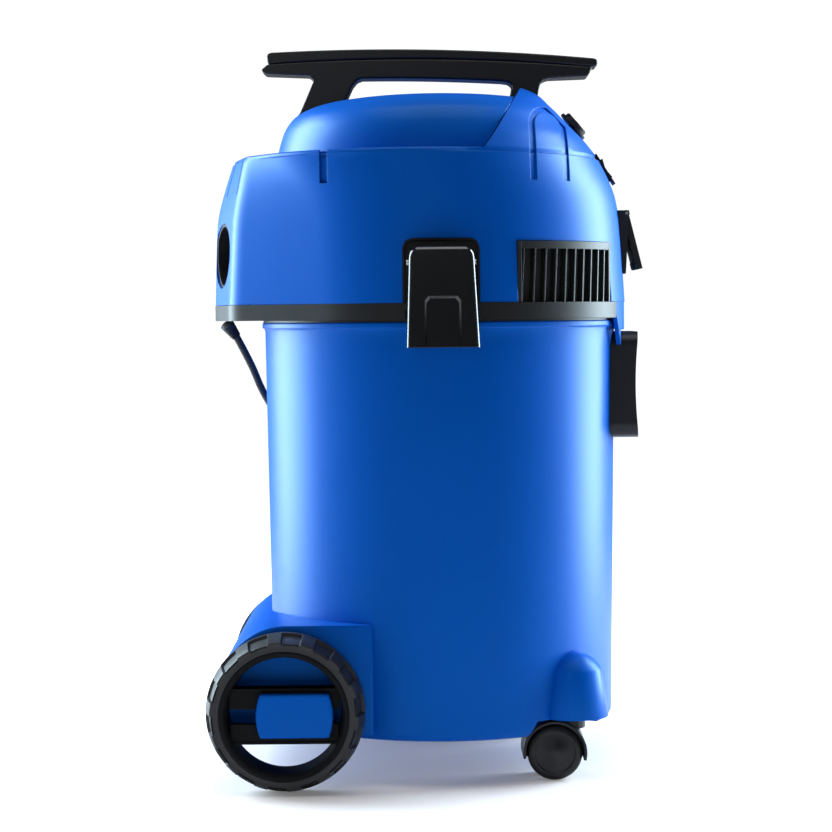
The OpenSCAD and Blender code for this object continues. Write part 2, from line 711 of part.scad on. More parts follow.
module rocker_bezel() color(black) on_axis() tilted(rocker_at, rocker_tilt) difference() {
    union() {
        translate([-rocker_l / 2 - bezel_margin, -9.5, 1])
            cube([rocker_l + 2 * bezel_margin, 19, 1.6]);
        translate([-rocker_l / 2 + 2.3, -6.8, -16]) cube([rocker_l - 4.6, 13.6, 17]);
    }
    translate([-rocker_l / 2 + 3.5, -5.6, -10]) cube([rocker_l - 7, 11.2, 20]);
    cyl_y(rocker_pin_r + run, -20, 20, 32);
}

module rocker_button() color(black) on_axis() tilted(rocker_at, rocker_tilt) {
    translate([0, 5.2, 0]) rotate([90, 0, 0]) linear_extrude(10.4) polygon([
        [-rocker_l / 2 + 4.7, -5], [-rocker_l / 2 + 4.7, 5.4], [0, 2.6], [rocker_l / 2 - 4.7, 4],
        [rocker_l / 2 - 4.7, -5], [0, -7]]);
    cyl_y(rocker_pin_r, -6.4, 6.4, 32);
}

// ---------- tool socket ----------

module socket_base() color(black) on_axis() difference() {
    union() {
        translate([0, socket_w / 2, 0]) rotate([90, 0, 0]) linear_extrude(socket_w) polygon([
            [socket_front - 10, socket_z[0]], [socket_front - 2.5, socket_z[0]],
            [socket_front + 0.7, socket_z[1]], [socket_front - 10, socket_z[1]]]);
        translate([socket_front - 40, -socket_w / 2 + 5.5, socket_z[0] + 5.5])
            cube([35, socket_w - 11, socket_z[1] - socket_z[0] - 11]);
    }
    translate([socket_front - 34, 0, (socket_z[0] + socket_z[1]) / 2 - 2]) rotate([0, 90, 0])
        cylinder(r = 20, h = 60, $fn = 64);
    translate([flap_pin_at[0] - 4.7, -flap_w / 2 - 0.6, socket_z[0] + 1.4])
        cube([30, flap_w + 1.2, socket_z[1] - socket_z[0]]);
    translate([flap_pin_at[0] - 12, -9.5, socket_z[0] + 1.4]) cube([20, 19, 9.5]);
    translate(flap_pin_at) cyl_y(flap_pin_r, -40, 40, 24);
    socket_seat_cut();
}

// Keeps the socket's base clear of the shell that it is let into
module socket_seat_cut() {
    difference() {
        head_body(0, band_z, rim_z);
        head_body(head_wall, band_z - 3, rim_z - head_wall);
        translate([socket_front - 60, -socket_w / 2 + 5, socket_z[0] + 5])
            cube([100, socket_w - 10, socket_z[1] - socket_z[0] - 10]);
    }
}

module socket_insert() color(dark_grey) on_axis()
    translate([socket_front - 34, 0, (socket_z[0] + socket_z[1]) / 2 - 2]) rotate([0, 90, 0]) difference() {
        cylinder(r = 20, h = 14, $fn = 64);
        for (s = [-1, 1]) translate([0, s * 9.5, 4]) cylinder(r = 2.5, h = 20, $fn = 24);
        for (s = [-1, 1]) translate([s * 21, 0, 7]) cube([6, 5, 20], center = true);
    }

module at_flap() { translate(flap_pin_at) rotate([0, -flap_rest, 0]) children(); }

module socket_flap() color(black) on_axis() at_flap() difference() {
    union() {
        translate([flap_out - flap_t, -flap_w / 2, -flap_l]) cube([flap_t, flap_w, flap_l + 1]);
        cyl_y(flap_knuckle_r, -flap_w / 2, flap_w / 2, 32);
        translate([flap_out - flap_t - 2, -8, -flap_l + 1]) cube([3, 16, 6]);
    }
    cyl_y(flap_pin_r + run, -60, 60, 24);
    cyl_y(flap_knuckle_r + 2, -9, 9, 32);
}

module flap_pin() color(steel) on_axis() translate(flap_pin_at)
    cyl_y(flap_pin_r, -socket_w / 2 + 0.5, socket_w / 2 - 0.5, 24);

// Small torsion spring around the middle of the pin
module flap_spring() color(steel) on_axis() translate(flap_pin_at) difference() {
    cyl_y(2.5, -8, 8, 32);
    cyl_y(flap_pin_r, -9, 9, 24);
}

// ---------- blower, motor and electronics ----------

module blower_duct() color(black) on_axis() difference() {
    at_blower() translate([0, 0, -55]) cylinder(r = blower_r, h = 54, $fn = 64);
    at_blower() translate([0, 0, -60]) cylinder(r = blower_r - 3, h = 80, $fn = 64);
    difference() {
        translate([-300, -200, 0]) cube([200, 400, 700]);
        head_body(0.6, band_z, rim_z);
    }
}

module motor_ring() color(black) on_axis() translate([0, 0, deck_z + deck_t]) difference() {
    cylinder(r = fan_r + 10, h = 5, $fn = 64);
    translate([0, 0, -1]) cylinder(r = eye_r, h = 7, $fn = 64);
}

module motor_case() color(steel) on_axis() difference() {
    union() {
        translate([0, 0, deck_z + deck_t + 5]) cylinder(r = fan_r + 6, h = motor_z - deck_z - deck_t - 5, $fn = 64);
        translate([0, 0, motor_z]) cylinder(r = motor_r, h = motor_h, $fn = 64);
    }
    translate([0, 0, deck_z]) cylinder(r = eye_r, h = 12, $fn = 64);
    translate([0, 0, deck_z + deck_t + 8]) cylinder(r = fan_r + 3, h = motor_z - deck_z - deck_t - 10, $fn = 64);
    translate([0, 0, motor_z + 3]) cylinder(r = motor_r - 4, h = motor_h - 7, $fn = 64);
    translate([0, 0, motor_z - 10]) cylinder(r = shaft_r + run, h = motor_h + 20, $fn = 48);
    for (i = [0:7]) rotate([0, 0, i * 45 + 20])
        translate([motor_r - 10, -6, motor_z + motor_h - 26]) cube([20, 12, 16]);
}

module motor_rotor() color([0.62, 0.42, 0.2]) on_axis() {
    translate([0, 0, deck_z + deck_t + 10]) cylinder(r = shaft_r, h = motor_z + motor_h - deck_z - deck_t - 9, $fn = 48);
    difference() {
        translate([0, 0, motor_z + 16]) cylinder(r = motor_r - 20, h = motor_h - 42, $fn = 64);
        for (i = [0:11]) rotate([0, 0, i * 30]) translate([motor_r - 23, -1.5, motor_z]) cube([8, 3, motor_h]);
    }
    translate([0, 0, motor_z + motor_h - 24]) cylinder(r = 16, h = 12, $fn = 48);
}

module fan_wheel() color([0.8, 0.8, 0.82]) on_axis() translate([0, 0, deck_z + deck_t + 9.5]) difference() {
    union() {
        translate([0, 0, 9]) cylinder(r = fan_r, h = 1.5, $fn = 64);
        difference() {
            cylinder(r = fan_r, h = 1.5, $fn = 64);
            translate([0, 0, -1]) cylinder(r = 24, h = 4, $fn = 48);
        }
        for (i = [0:7]) rotate([0, 0, i * 45]) translate([22, 0, 1]) rotate([0, 0, 28]) cube([36, 1.6, 8.5]);
        cylinder(r = 9, h = 10, $fn = 48);
    }
    translate([0, 0, -1]) cylinder(r = shaft_r, h = 20, $fn = 48);
}

module motor_cowl() color(dark_grey) on_axis() difference() {
    translate([0, 0, deck_z + deck_t]) cylinder(r = cowl_r, h = cowl_top_z - deck_z - deck_t, $fn = 64);
    translate([0, 0, deck_z]) cylinder(r = cowl_r - 3, h = cowl_top_z - deck_z - 3, $fn = 64);
    rotate([0, 0, 180]) translate([60, -25, deck_z + 20]) cube([60, 50, 50]);
}

module control_board() color([0.1, 0.35, 0.2]) on_axis() {
    translate([112, -38, 480]) cube([2, 76, 46]);
    for (y = [-24, -4, 16]) translate([101, y, 488]) cube([11, 12, 22]);
}

module exhaust_foam() color([0.3, 0.3, 0.32]) on_axis() both_sides()
    sector_ring(head_r - 20, head_r - 8, shell_z - 1, grille_top_z - 3, grille_from - 88, grille_to - 92);

// ---------- suction filter and float ----------

module filter_cartridge() color(cream) on_axis() difference() {
    translate([0, 0, filter_top_z - filter_h + 8]) linear_extrude(filter_h - 8) polygon([
        for (i = [0:119]) let (r = (i % 2 == 0) ? filter_r : filter_r - 9) [r * cos(i * 3), r * sin(i * 3)]]);
    translate([0, 0, filter_top_z - filter_h - 1]) cylinder(r = filter_r - 22, h = filter_h + 2, $fn = 64);
}

module filter_plate() color(black) on_axis() difference() {
    translate([0, 0, filter_top_z - filter_h]) cylinder(r = filter_r + 3, h = 8, $fn = 64);
    translate([0, 0, filter_top_z - filter_h + 4]) cylinder(r = filter_r - 26, h = 5, $fn = 64);
}

module float_cage() color(black) on_axis() difference() {
    union() {
        translate([0, 0, filter_top_z - 74]) cylinder(r = cage_r, h = 74, $fn = 48);
        translate([0, 0, filter_top_z - 3]) cylinder(r = eye_r + 6, h = 3, $fn = 48);
    }
    translate([0, 0, filter_top_z - 70]) cylinder(r = cage_r - 3, h = 66, $fn = 48);
    translate([0, 0, filter_top_z - 10]) cylinder(r = float_r - 5, h = 20, $fn = 48);
    for (i = [0:2]) rotate([0, 0, i * 60]) translate([-40, -8, filter_top_z - 62]) cube([80, 16, 52]);
}

module float_ball() color([0.85, 0.86, 0.88]) on_axis()
    translate([0, 0, filter_top_z - 70 + slack + float_r]) sphere(r = float_r, $fn = 64);

// ---------- mains cord ----------

// Places a piece along the cord's first stretch, its Z axis pointing out of the head
module grip_line() {
    translate(grip_at) multmatrix(frame_z(cord_path[0] - grip_at)) children();
}

function unit(v) = v / norm(v);
function frame_z(v) = let (z = unit(v), x = unit(cross([1, 0, 0.6], z)), y = cross(z, x))
    [[x[0], y[0], z[0], 0], [x[1], y[1], z[1], 0], [x[2], y[2], z[2], 0], [0, 0, 0, 1]];
grip_l = norm(cord_path[0] - grip_at);

// Rubber bend relief that the cord passes through, tapering towards its free end
module cord_grip() color(black) on_axis() grip_line() {
    translate([0, 0, -16]) cylinder(r = 6.8, h = 10, $fn = 32);
    translate([0, 0, -7]) cylinder(r1 = 6.8, r2 = 4.6, h = 6 + grip_l - slack, $fn = 32);
}

function ring(i) = let (
        a = cord_path[max(i - 1, 0)], b = cord_path[min(i + 1, len(cord_path) - 1)],
        m = frame_z(b - a))
    [for (k = [0:cord_sides - 1]) let (t = 360 * k / cord_sides)
        cord_path[i] + cord_r * (cos(t) * [m[0][0], m[1][0], m[2][0]] + sin(t) * [m[0][1], m[1][1], m[2][1]])];

module cord_tail() color(black) on_axis() {
    n = len(cord_path);
    s = cord_sides;
    polyhedron(
        points = [for (i = [0:n - 1]) each ring(i)],
        faces = concat(
            [[for (k = [0:s - 1]) k]],
            [for (i = [0:n - 2], k = [0:s - 1])
                [i * s + k, (i + 1) * s + k, (i + 1) * s + (k + 1) % s, i * s + (k + 1) % s]],
            [[for (k = [s - 1:-1:0]) (n - 1) * s + k]]),
        convexity = 6);
}

module cord_coil() color(black) on_axis() translate([coil_at[0], coil_at[1], 0])
    rotate_extrude($fn = round_fn) translate([coil_mid_r - coil_w / 2, 0.1]) square([coil_w, coil_h]);

module cord_tie() color(dark_grey) on_axis() translate([coil_at[0] + coil_mid_r, coil_at[1], 0.1 + coil_h / 2])
    difference() {
        cube([coil_w + 4, 12, coil_h + 3.8], center = true);
        translate([0, 0, -1]) cube([coil_w, 20, coil_h + 2], center = true);
    }

// Two-pin earthed plug, lying on the coil
module plug() color(black) on_axis()
    translate([coil_at[0] - 6, coil_at[1] - coil_mid_r, coil_h + 0.1 + 15]) rotate([0, 90, 0]) {
        translate([0, 0, -18]) cylinder(r = 15, h = 20, $fn = 48);
        translate([0, 0, 2]) cylinder(r1 = 15, r2 = 6, h = 24, $fn = 48);
        for (s = [-1, 1]) translate([0, s * 9.5, -36]) cylinder(r = 2.4, h = 20, $fn = 24);
    }

tank();
tank_floor();
axle_housing();
castor_bosses();
tank_catches();
inlet_fitting();
inlet_deflector();
rear_axle();
axle_clips();
castor_sleeves();
wheel_rim();  // wheel_rim_right
wheel_tyre();  // wheel_tyre_right
wheel_badge();  // wheel_badge_right
mirror([0, 1, 0]) wheel_rim();  // wheel_rim_left
mirror([0, 1, 0]) wheel_tyre();  // wheel_tyre_left
mirror([0, 1, 0]) wheel_badge();  // wheel_badge_left
castor_hood();  // castor_hood_right
castor_stem();  // castor_stem_right
castor_axle();  // castor_axle_right
castor_wheels();  // castor_wheels_right
mirror([0, 1, 0]) castor_hood();  // castor_hood_left
mirror([0, 1, 0]) castor_stem();  // castor_stem_left
mirror([0, 1, 0]) castor_axle();  // castor_axle_left
mirror([0, 1, 0]) castor_wheels();  // castor_wheels_left
lower_band();
head_gasket();
head_shell();
head_screws();
top_dome();
handle_lower();
handle_upper();
handle_screws();
latch_pins();
latch();  // latch_right
mirror([0, 1, 0]) latch();  // latch_left
power_dial();
dial_control();
rocker_bezel();
rocker_button();
socket_base();
socket_insert();
socket_flap();
flap_pin();
flap_spring();
blower_duct();
motor_ring();
motor_case();
motor_rotor();
fan_wheel();
motor_cowl();
control_board();
exhaust_foam();
filter_cartridge();
filter_plate();
float_cage();
float_ball();
cord_grip();
cord_tail();
cord_coil();
cord_tie();
plug();
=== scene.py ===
import json
from math import acos, asin, atan2, cos, degrees, pi, radians, sin, sqrt, tau

import bmesh
import bpy
from mathutils import Matrix, Vector


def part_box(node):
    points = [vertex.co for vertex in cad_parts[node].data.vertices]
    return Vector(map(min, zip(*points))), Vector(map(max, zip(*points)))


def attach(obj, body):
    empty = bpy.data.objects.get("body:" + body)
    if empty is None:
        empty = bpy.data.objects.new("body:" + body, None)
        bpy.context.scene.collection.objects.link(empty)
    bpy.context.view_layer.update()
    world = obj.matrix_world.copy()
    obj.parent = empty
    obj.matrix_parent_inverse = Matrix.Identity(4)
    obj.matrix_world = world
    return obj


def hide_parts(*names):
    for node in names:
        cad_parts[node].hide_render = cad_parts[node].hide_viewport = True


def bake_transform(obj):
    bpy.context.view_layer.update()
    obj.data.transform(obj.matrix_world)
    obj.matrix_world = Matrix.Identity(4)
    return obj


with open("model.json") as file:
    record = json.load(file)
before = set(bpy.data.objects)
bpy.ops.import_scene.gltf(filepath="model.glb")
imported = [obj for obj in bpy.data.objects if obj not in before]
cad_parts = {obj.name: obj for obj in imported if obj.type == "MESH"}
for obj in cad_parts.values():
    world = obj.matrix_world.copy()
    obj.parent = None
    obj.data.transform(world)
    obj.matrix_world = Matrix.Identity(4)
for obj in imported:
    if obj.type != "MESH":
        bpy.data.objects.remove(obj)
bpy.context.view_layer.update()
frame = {"nodes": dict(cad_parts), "record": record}

# The machine is laid out in millimetres from the axis that its fan turns on: X forward,
# Y to its left and Z up from the floor. spot() turns such a place into metres of the frame.
fan_low, fan_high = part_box("fan_wheel")
axis_x = (fan_low.x + fan_high.x) / 2


def spot(x, y, z):
    return Vector((axis_x + x / 1000, y / 1000, z / 1000))


# Studio: a camera far off on the machine's right side, two tall soft boxes beside and a little
# behind it that edge the round body with light, a weak front fill, and a white paper floor with a painted
# glow.
eye_place, eye_down, eye_roll = spot(-22.9, -2050, 415), radians(2.654), radians(-0.55)
eye = bpy.data.objects.new("camera", bpy.data.cameras.new("camera"))
eye.data.sensor_width, eye.data.lens, eye.data.clip_end = 36, 94.27, 60
eye.matrix_world = (Matrix.Translation(eye_place) @ Matrix.Rotation(pi / 2 - eye_down, 4, "X")
                    @ Matrix.Rotation(eye_roll, 4, "Z"))
bpy.context.scene.collection.objects.link(eye)
bpy.context.scene.camera = eye
bpy.context.scene.view_settings.view_transform = "Standard"

machine_middle, cool_light = Vector((0, 0, 0.34)), (0.72, 0.90, 1.0)


def soft_box(name, turn, away, height, wide, tall, power, colour=(1, 1, 1)):
    """A rectangular lamp at a turn from the camera's side, aimed at the machine's middle."""
    lamp = bpy.data.lights.new(name, "AREA")
    lamp.shape, lamp.size, lamp.size_y, lamp.energy = "RECTANGLE", wide, tall, power
    lamp.color = colour
    holder = bpy.data.objects.new(name, lamp)
    holder.location = (away * sin(radians(turn)), -away * cos(radians(turn)), height)
    aim = machine_middle - holder.location
    holder.rotation_euler = aim.to_track_quat("-Z", "Y").to_euler()
    bpy.context.scene.collection.objects.link(holder)


soft_box("strip_front", 110, 1.5, 0.62, 0.75, 1.9, 92, cool_light)
soft_box("strip_rear", -112, 1.5, 0.62, 0.95, 1.9, 98, cool_light)
soft_box("overhead", 0, 0.35, 2.3, 1.8, 1.4, 17)
soft_box("fill", -12, 3.2, 1.3, 1.6, 1.2, 6)


class Wire:
    """A value in a material. Sums and products of wires write their own Math nodes."""

    def __init__(self, graph, socket):
        self.graph, self.socket = graph, socket

    def math(self, operation, first, second):
        made = self.graph.node("ShaderNodeMath", {"operation": operation}, {0: first, 1: second})
        return made["Value"]

    def __add__(self, other):
        return self.math("ADD", self, other)

    def __mul__(self, other):
        return self.math("MULTIPLY", self, other)

    __radd__, __rmul__ = __add__, __mul__


class Graph:
    """The nodes of one material, or of the world."""

    def __init__(self, owner):
        owner.use_nodes = True
        self.tree = owner.node_tree
        self.tree.nodes.clear()

    def node(self, kind, settings=None, inputs=None):
        """Adds a node: its settings first, then a number, colour or wire for each socket."""
        made = self.tree.nodes.new("ShaderNode" + kind.removeprefix("ShaderNode"))
        for name, value in (settings or {}).items():
            if name == "stops":
                for stop, (place, colour) in zip(made.color_ramp.elements, value):
                    stop.position, stop.color = place, colour
            else:
                setattr(made, name, value)
        for name, value in (inputs or {}).items():
            socket = (made.inputs[name] if isinstance(name, int)
                      else next(s for s in made.inputs if s.name == name and s.enabled))
            if isinstance(value, Wire):
                self.tree.links.new(value.socket, socket)
            else:
                socket.default_value = value
        return {s.name: Wire(self, s) for s in reversed(made.outputs) if s.enabled}


world = bpy.context.scene.world or bpy.data.worlds.new("world")
bpy.context.scene.world = world
sky = Graph(world)
seen = sky.node("LightPath")["Is Camera Ray"]
glow = sky.node("Background", {}, {"Color": (0.80, 0.88, 1.0, 1), "Strength": 0.07})["Background"]
paper = sky.node("Background", {}, {"Color": (1, 1, 1, 1), "Strength": 1.05})["Background"]
backdrop = sky.node("MixShader", {}, {0: seen, 1: glow, 2: paper})["Shader"]
sky.node("OutputWorld", {}, {"Surface": backdrop})

floor_mesh = bpy.data.meshes.new("paper_floor")
half_floor = 9
corners = [(-half_floor, -half_floor, 0), (half_floor, -half_floor, 0),
           (half_floor, half_floor, 0), (-half_floor, half_floor, 0)]
floor_mesh.from_pydata(corners, [], [(0, 1, 2, 3)])
floor = bpy.data.objects.new("paper_floor", floor_mesh)
bpy.context.scene.collection.objects.link(floor)
# Painted glow: for the camera the floor emits light. The glow is faint close under the machine and rises to
# white far off, so the far paper clips to white while the lamps' real shadows stay near the machine. For all
# other rays the floor emits a faint grey glow, which is painted light on the machine from below.
floor_paper_painted_glow = bpy.data.materials.new("floor_paper_painted_glow")
g = Graph(floor_paper_painted_glow)
away = g.node("VectorMath", {"operation": "LENGTH"}, {0: g.node("TexCoord")["Object"]})["Value"]
# Painted glow colours: dim near the machine, brighter than white far off.
painted_glow_near, painted_glow_far = (0.14, 0.14, 0.14, 1), (1.05, 1.05, 1.05, 1)
painted_glow_ramp = g.node("ValToRGB", {"stops": [(0.12, painted_glow_near), (0.42, painted_glow_far)]}, {"Fac": away * 0.5})
painted_floor_glow = g.node("Mix", {"data_type": "RGBA"}, {"Factor": g.node("LightPath")["Is Camera Ray"],
                                              "A": (0.04, 0.04, 0.04, 1), "B": painted_glow_ramp["Color"]})["Result"]
glowing_floor_shader = g.node("BsdfPrincipled", {}, {
    "Base Color": (0.84, 0.76, 0.73, 1), "Roughness": 0.9, "Specular IOR Level": 0.1,
    "Emission Color": painted_floor_glow, "Emission Strength": 1.0})
g.node("OutputMaterial", {}, {"Surface": glowing_floor_shader["BSDF"]})
floor_mesh.materials.append(floor_paper_painted_glow)


# Mains cord: three cores in a black rubber sheath of 7 mm. It leaves a bend relief under the rear
# ridge of the head, hangs behind the tank to the floor, and its rest is wound in a coil by the left
# side, with a tie round it and an earthed plug on top.
cord_r = 3.5


def moulded(name, colour, rough, grain=0.10, edge=0.7, drift=0.06, coat=0.0, speckle=620, shine=0.3,
            tint=(1, 1, 1), metallic=0.0):
    """Moulded plastic or rubber: spark-eroded grain, faint flow clouds and softened edges."""
    material = bpy.data.materials.new(name)
    g = Graph(material)
    place = g.node("TexCoord")["Object"]
    cloud = g.node("TexNoise", {}, {"Vector": place, "Scale": 6.0, "Detail": 3.0})["Fac"]
    speck = g.node("TexNoise", {}, {"Vector": place, "Scale": speckle, "Detail": 2.0})["Fac"]
    low = [c * (1 - drift) for c in colour] + [1]
    high = [min(1, c * (1 + drift)) for c in colour] + [1]
    tone = g.node("Mix", {"data_type": "RGBA"}, {"Factor": cloud, "A": low, "B": high})["Result"]
    corner = g.node("Bevel", {"samples": 4}, {"Radius": edge / 1000})["Normal"]
    skin = g.node("Bump", {}, {"Strength": grain, "Distance": 0.0002, "Height": speck, "Normal": corner})
    shader = g.node("BsdfPrincipled", {}, {
        "Base Color": tone, "Roughness": rough - 0.04 + 0.05 * cloud + 0.05 * speck,
        "Metallic": metallic, "Coat Weight": coat, "Coat Roughness": 0.12, "Specular IOR Level": shine,
        "Specular Tint": (*tint, 1), "Normal": skin["Normal"]})["BSDF"]
    g.node("OutputMaterial", {}, {"Surface": shader})
    return material


def tidy(made, crease=34, weld=True):
    """Welds doubled points, turns the faces outwards, and smooths all but the sharp edges."""
    skin = bmesh.new()
    skin.from_mesh(made.data)
    if weld:
        bmesh.ops.remove_doubles(skin, verts=skin.verts, dist=2e-6)
    bmesh.ops.recalc_face_normals(skin, faces=skin.faces)
    for face in skin.faces:
        face.smooth = True
    for edge in skin.edges:
        edge.smooth = len(edge.link_faces) == 2 and edge.calc_face_angle(0) < radians(crease)
    skin.to_mesh(made.data)
    skin.free()


def piece(name, shape, material, body, stands_for=(), bevel=0, crease=34, weld=True):
    """One mesh piece from points in millimetres and faces, riding on a body of the frame."""
    points, faces = shape
    mesh = bpy.data.meshes.new(name)
    mesh.from_pydata([spot(*p) for p in points], [], faces)
    made = bpy.data.objects.new(name, mesh)
    bpy.context.scene.collection.objects.link(made)
    tidy(made, crease, weld)
    mesh.materials.append(material)
    if bevel:
        rounding = made.modifiers.new("edges", "BEVEL")
        rounding.width, rounding.segments, rounding.limit_method = bevel / 1000, 3, "ANGLE"
        rounding.angle_limit = radians(crease)
    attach(made, body)
    if stands_for:
        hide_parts(*stands_for)
    return made


def loft(rings, closed=True, caps=True):
    """Points and faces of a skin through rings of equally many points."""
    count = len(rings[0])
    points = [p for ring in rings for p in ring]
    faces = []
    for start in range(0, len(points) - count, count):
        for k in range(count if closed else count - 1):
            after = (k + 1) % count
            faces.append((start + k, start + after, start + count + after, start + count + k))
    if caps:
        faces += [tuple(reversed(range(count))), tuple(range(len(points) - count, len(points)))]
    return points, faces


def together(*shapes):
    """Several shapes as one."""
    points, faces = [], []
    for more_points, more_faces in shapes:
        faces += [tuple(k + len(points) for k in face) for face in more_faces]
        points += more_points
    return points, faces


UPRIGHT = Matrix.Identity(3)
ALONG_X = Matrix.Rotation(radians(90), 3, "Y")       # a shape's own Z turned forward
ALONG_Y = Matrix.Rotation(radians(-90), 3, "X")      # to the machine's left
AGAINST_Y = Matrix.Rotation(radians(90), 3, "X")     # and to its right


def placed(shape, at=(0, 0, 0), turn=UPRIGHT):
    """A shape turned by a matrix and set down at a place."""
    return [tuple(turn @ Vector(p) + Vector(at)) for p in shape[0]], shape[1]


def mirrored(shape):
    """The same shape on the machine's other side."""
    return [(x, -y, z) for x, y, z in shape[0]], [tuple(reversed(f)) for f in shape[1]]


def turned(profile, count=96, at=(0, 0, 0), axis=UPRIGHT, ring=False):
    """A lathe shape: profile is a row of (radius, height). ring closes it into itself."""
    rows = profile + profile[:1] if ring else profile
    rings = [[(r * cos(tau * k / count), r * sin(tau * k / count), h) for k in range(count)]
             for r, h in rows]
    return placed(loft(rings, caps=not ring), at, axis)


def slab(outline, low, high, at=(0, 0, 0), axis=UPRIGHT):
    """A flat outline given thickness."""
    return placed(loft([[(x, y, z) for x, y in outline] for z in (low, high)]), at, axis)


def block(x0, x1, y0, y1, z0, z1):
    return slab([(x0, y0), (x1, y0), (x1, y1), (x0, y1)], z0, z1)


def side_slab(outline, y0, y1):
    """An outline in X and Z, given thickness across the machine."""
    return loft([[(x, y, z) for x, z in outline] for y in (y0, y1)])


def smooth_line(points, steps):
    """A rounded line through points (Catmull-Rom)."""
    ends = [points[0]] + list(points) + [points[-1]]
    line = []
    for four in zip(ends, ends[1:], ends[2:], ends[3:]):
        for s in (k / steps for k in range(steps)):
            line.append(tuple(0.5 * (2 * b + (c - a) * s + (2 * a - 5 * b + 4 * c - d) * s * s
                                     + (3 * b - a - 3 * c + d) * s ** 3) for a, b, c, d in zip(*four)))
    return line + [tuple(points[-1])]


def tube(line, radius, count=12):
    """A round skin along a line of points, with its ends closed."""
    rings, side = [], Vector((0.6, 0, -1))
    for i, p in enumerate(line):
        before, after = line[max(i - 1, 0)], line[min(i + 1, len(line) - 1)]
        way = (Vector(after) - Vector(before)).normalized()
        side = (side - way * side.dot(way)).normalized()
        up = way.cross(side)
        size = radius(i / (len(line) - 1)) if callable(radius) else radius
        spins = [tau * k / count for k in range(count)]
        rings.append([tuple(Vector(p) + size * (side * cos(a) + up * sin(a))) for a in spins])
    return loft(rings)


lying_z = cord_r + 0.3                               # the cord's middle where it lies on the floor
hang = [(-192, 13, 396), (-187, 17, 386), (-178, 27, 366), (-170, 41, 344), (-158, 67, 320),
        (-138, 97, 292), (-112, 124, 258), (-84, 146, 218), (-58, 161, 178), (-40, 171, 140),
        (-30, 178, 100), (-25, 183, 62), (-24, 189, 32), (-26, 200, 12), (-29, 214, lying_z),
        (-31, 232, lying_z)]
coil_x, coil_y, coil_mid = 20, 268, 42
pitch = 2 * cord_r + 0.05
columns, turns_laid, lap_points = 5, 18, 24
last_share, step_over, lead_in = 0.54, 0.75, 0.3     # the last turn's length, and where rows change
route = smooth_line(hang, 3)
lead_r = sqrt((hang[-1][0] - coil_x) ** 2 + (hang[-1][1] - coil_y) ** 2)
lead_spin = atan2(hang[-1][1] - coil_y, hang[-1][0] - coil_x)


def lap_place(lap):
    """Radius and layer of one turn: rows run in, then out, then in again as they climb."""
    layer, across = divmod(min(lap, turns_laid - 1), columns)
    step = across - (columns - 1) / 2
    return coil_mid + pitch * (step if layer % 2 else -step), layer


for lap in range(turns_laid):
    (r, layer), (next_r, next_layer) = lap_place(lap), lap_place(lap + 1)
    for k in range(1, lap_points + 1):
        share = k / lap_points
        if lap == turns_laid - 1 and share > last_share:
            break
        over = max(0, (share - step_over) / (1 - step_over))
        over = over * over * (3 - 2 * over)
        lead = (lead_r - r) * max(0, 1 - share / lead_in) ** 2 if lap == 0 else 0
        spin = lead_spin - tau * share
        here = r + (next_r - r) * over + lead
        route.append((coil_x + here * cos(spin), coil_y + here * sin(spin),
                      lying_z + pitch * (layer + (next_layer - layer) * over)))
plug_at = (coil_x + 20, coil_y - coil_mid, 43.1)
to_plug = [route[-1], (61.5, 262, 29), (57.5, 244, 36), (50.5, 231.5, 41), plug_at]
route += smooth_line(to_plug, 4)[1:]
metres = [spot(*p) for p in route]

rubber = moulded("black_rubber", (0.016, 0.016, 0.018), 0.42, grain=0.05, edge=0.4, speckle=900)
flex = piece("mains_cord", tube(route, cord_r), rubber, "base", crease=60, weld=False)
flex.parent = None
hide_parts("cord_tail", "cord_coil")

grip_from = Vector((-197.5, 8, 404))
grip_way = Vector(hang[0]) - grip_from
grip_steps = 44
grip_line = [tuple(grip_from + grip_way * (-0.5 + 1.46 * k / grip_steps)) for k in range(grip_steps + 1)]


def grip_radius(share):
    """A taper with a groove at every fourth step beyond its plain collar."""
    grooved = share > 0.3 and int(share * grip_steps) % 4 == 0
    return (6.8 - 2.2 * share) * (0.84 if grooved else 1)


piece("cord_relief", tube(grip_line, grip_radius, 28), rubber, "head", ("cord_grip",), crease=50)

black = moulded("black_plastic", (0.013, 0.013, 0.015), 0.34, grain=0.12)
plug_body = turned([(0, -20), (13, -20), (14.6, -18), (15, -14), (15, 1), (13.2, 5), (12.2, 12),
                    (8.6, 14), (8.6, 17), (7.2, 17.6), (7.2, 19.4), (8, 20), (7.6, 22.5), (6.4, 23),
                    (6.4, 24.6), (7, 25.2), (6, 27), (0, 27)], 40)
pin_line, pin_apart = [(0, -36), (1.6, -36), (2.4, -34.6), (2.4, -19), (0, -19)], 9.5
pins = [turned(pin_line, 20, (0, y, 0)) for y in (-pin_apart, pin_apart)]
plug_axis = Vector(plug_at) - Vector((26, 0, 0))
plug = piece("mains_plug", placed(plug_body, plug_axis, ALONG_X), black, "base", ("plug",))
nickel = moulded("nickel_plate", (0.55, 0.54, 0.50), 0.24, grain=0.02, edge=0.3, metallic=1.0)
plug_pins = piece("plug_pins", placed(together(*pins), plug_axis, ALONG_X), nickel, "base")
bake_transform(flex)


# Tank: a 30 litre drum blow-moulded in blue polyethylene, a little narrower at its foot. Its rim is
# rolled out. A housing for the rear axle and a boss over each castor are moulded with it.
tank_foot_r, tank_rim_r, tank_foot_z, tank_rim_z = 159, 163.5, 41, 409
axle_x, axle_z = -139.5, 69.7
castor_x, castor_y = 112, 108
blue = moulded("blue_plastic", (0.0, 0.090, 0.50), 0.37, grain=0.10, edge=1.0, drift=0.04, shine=0.30,
               tint=(0.16, 0.66, 1))


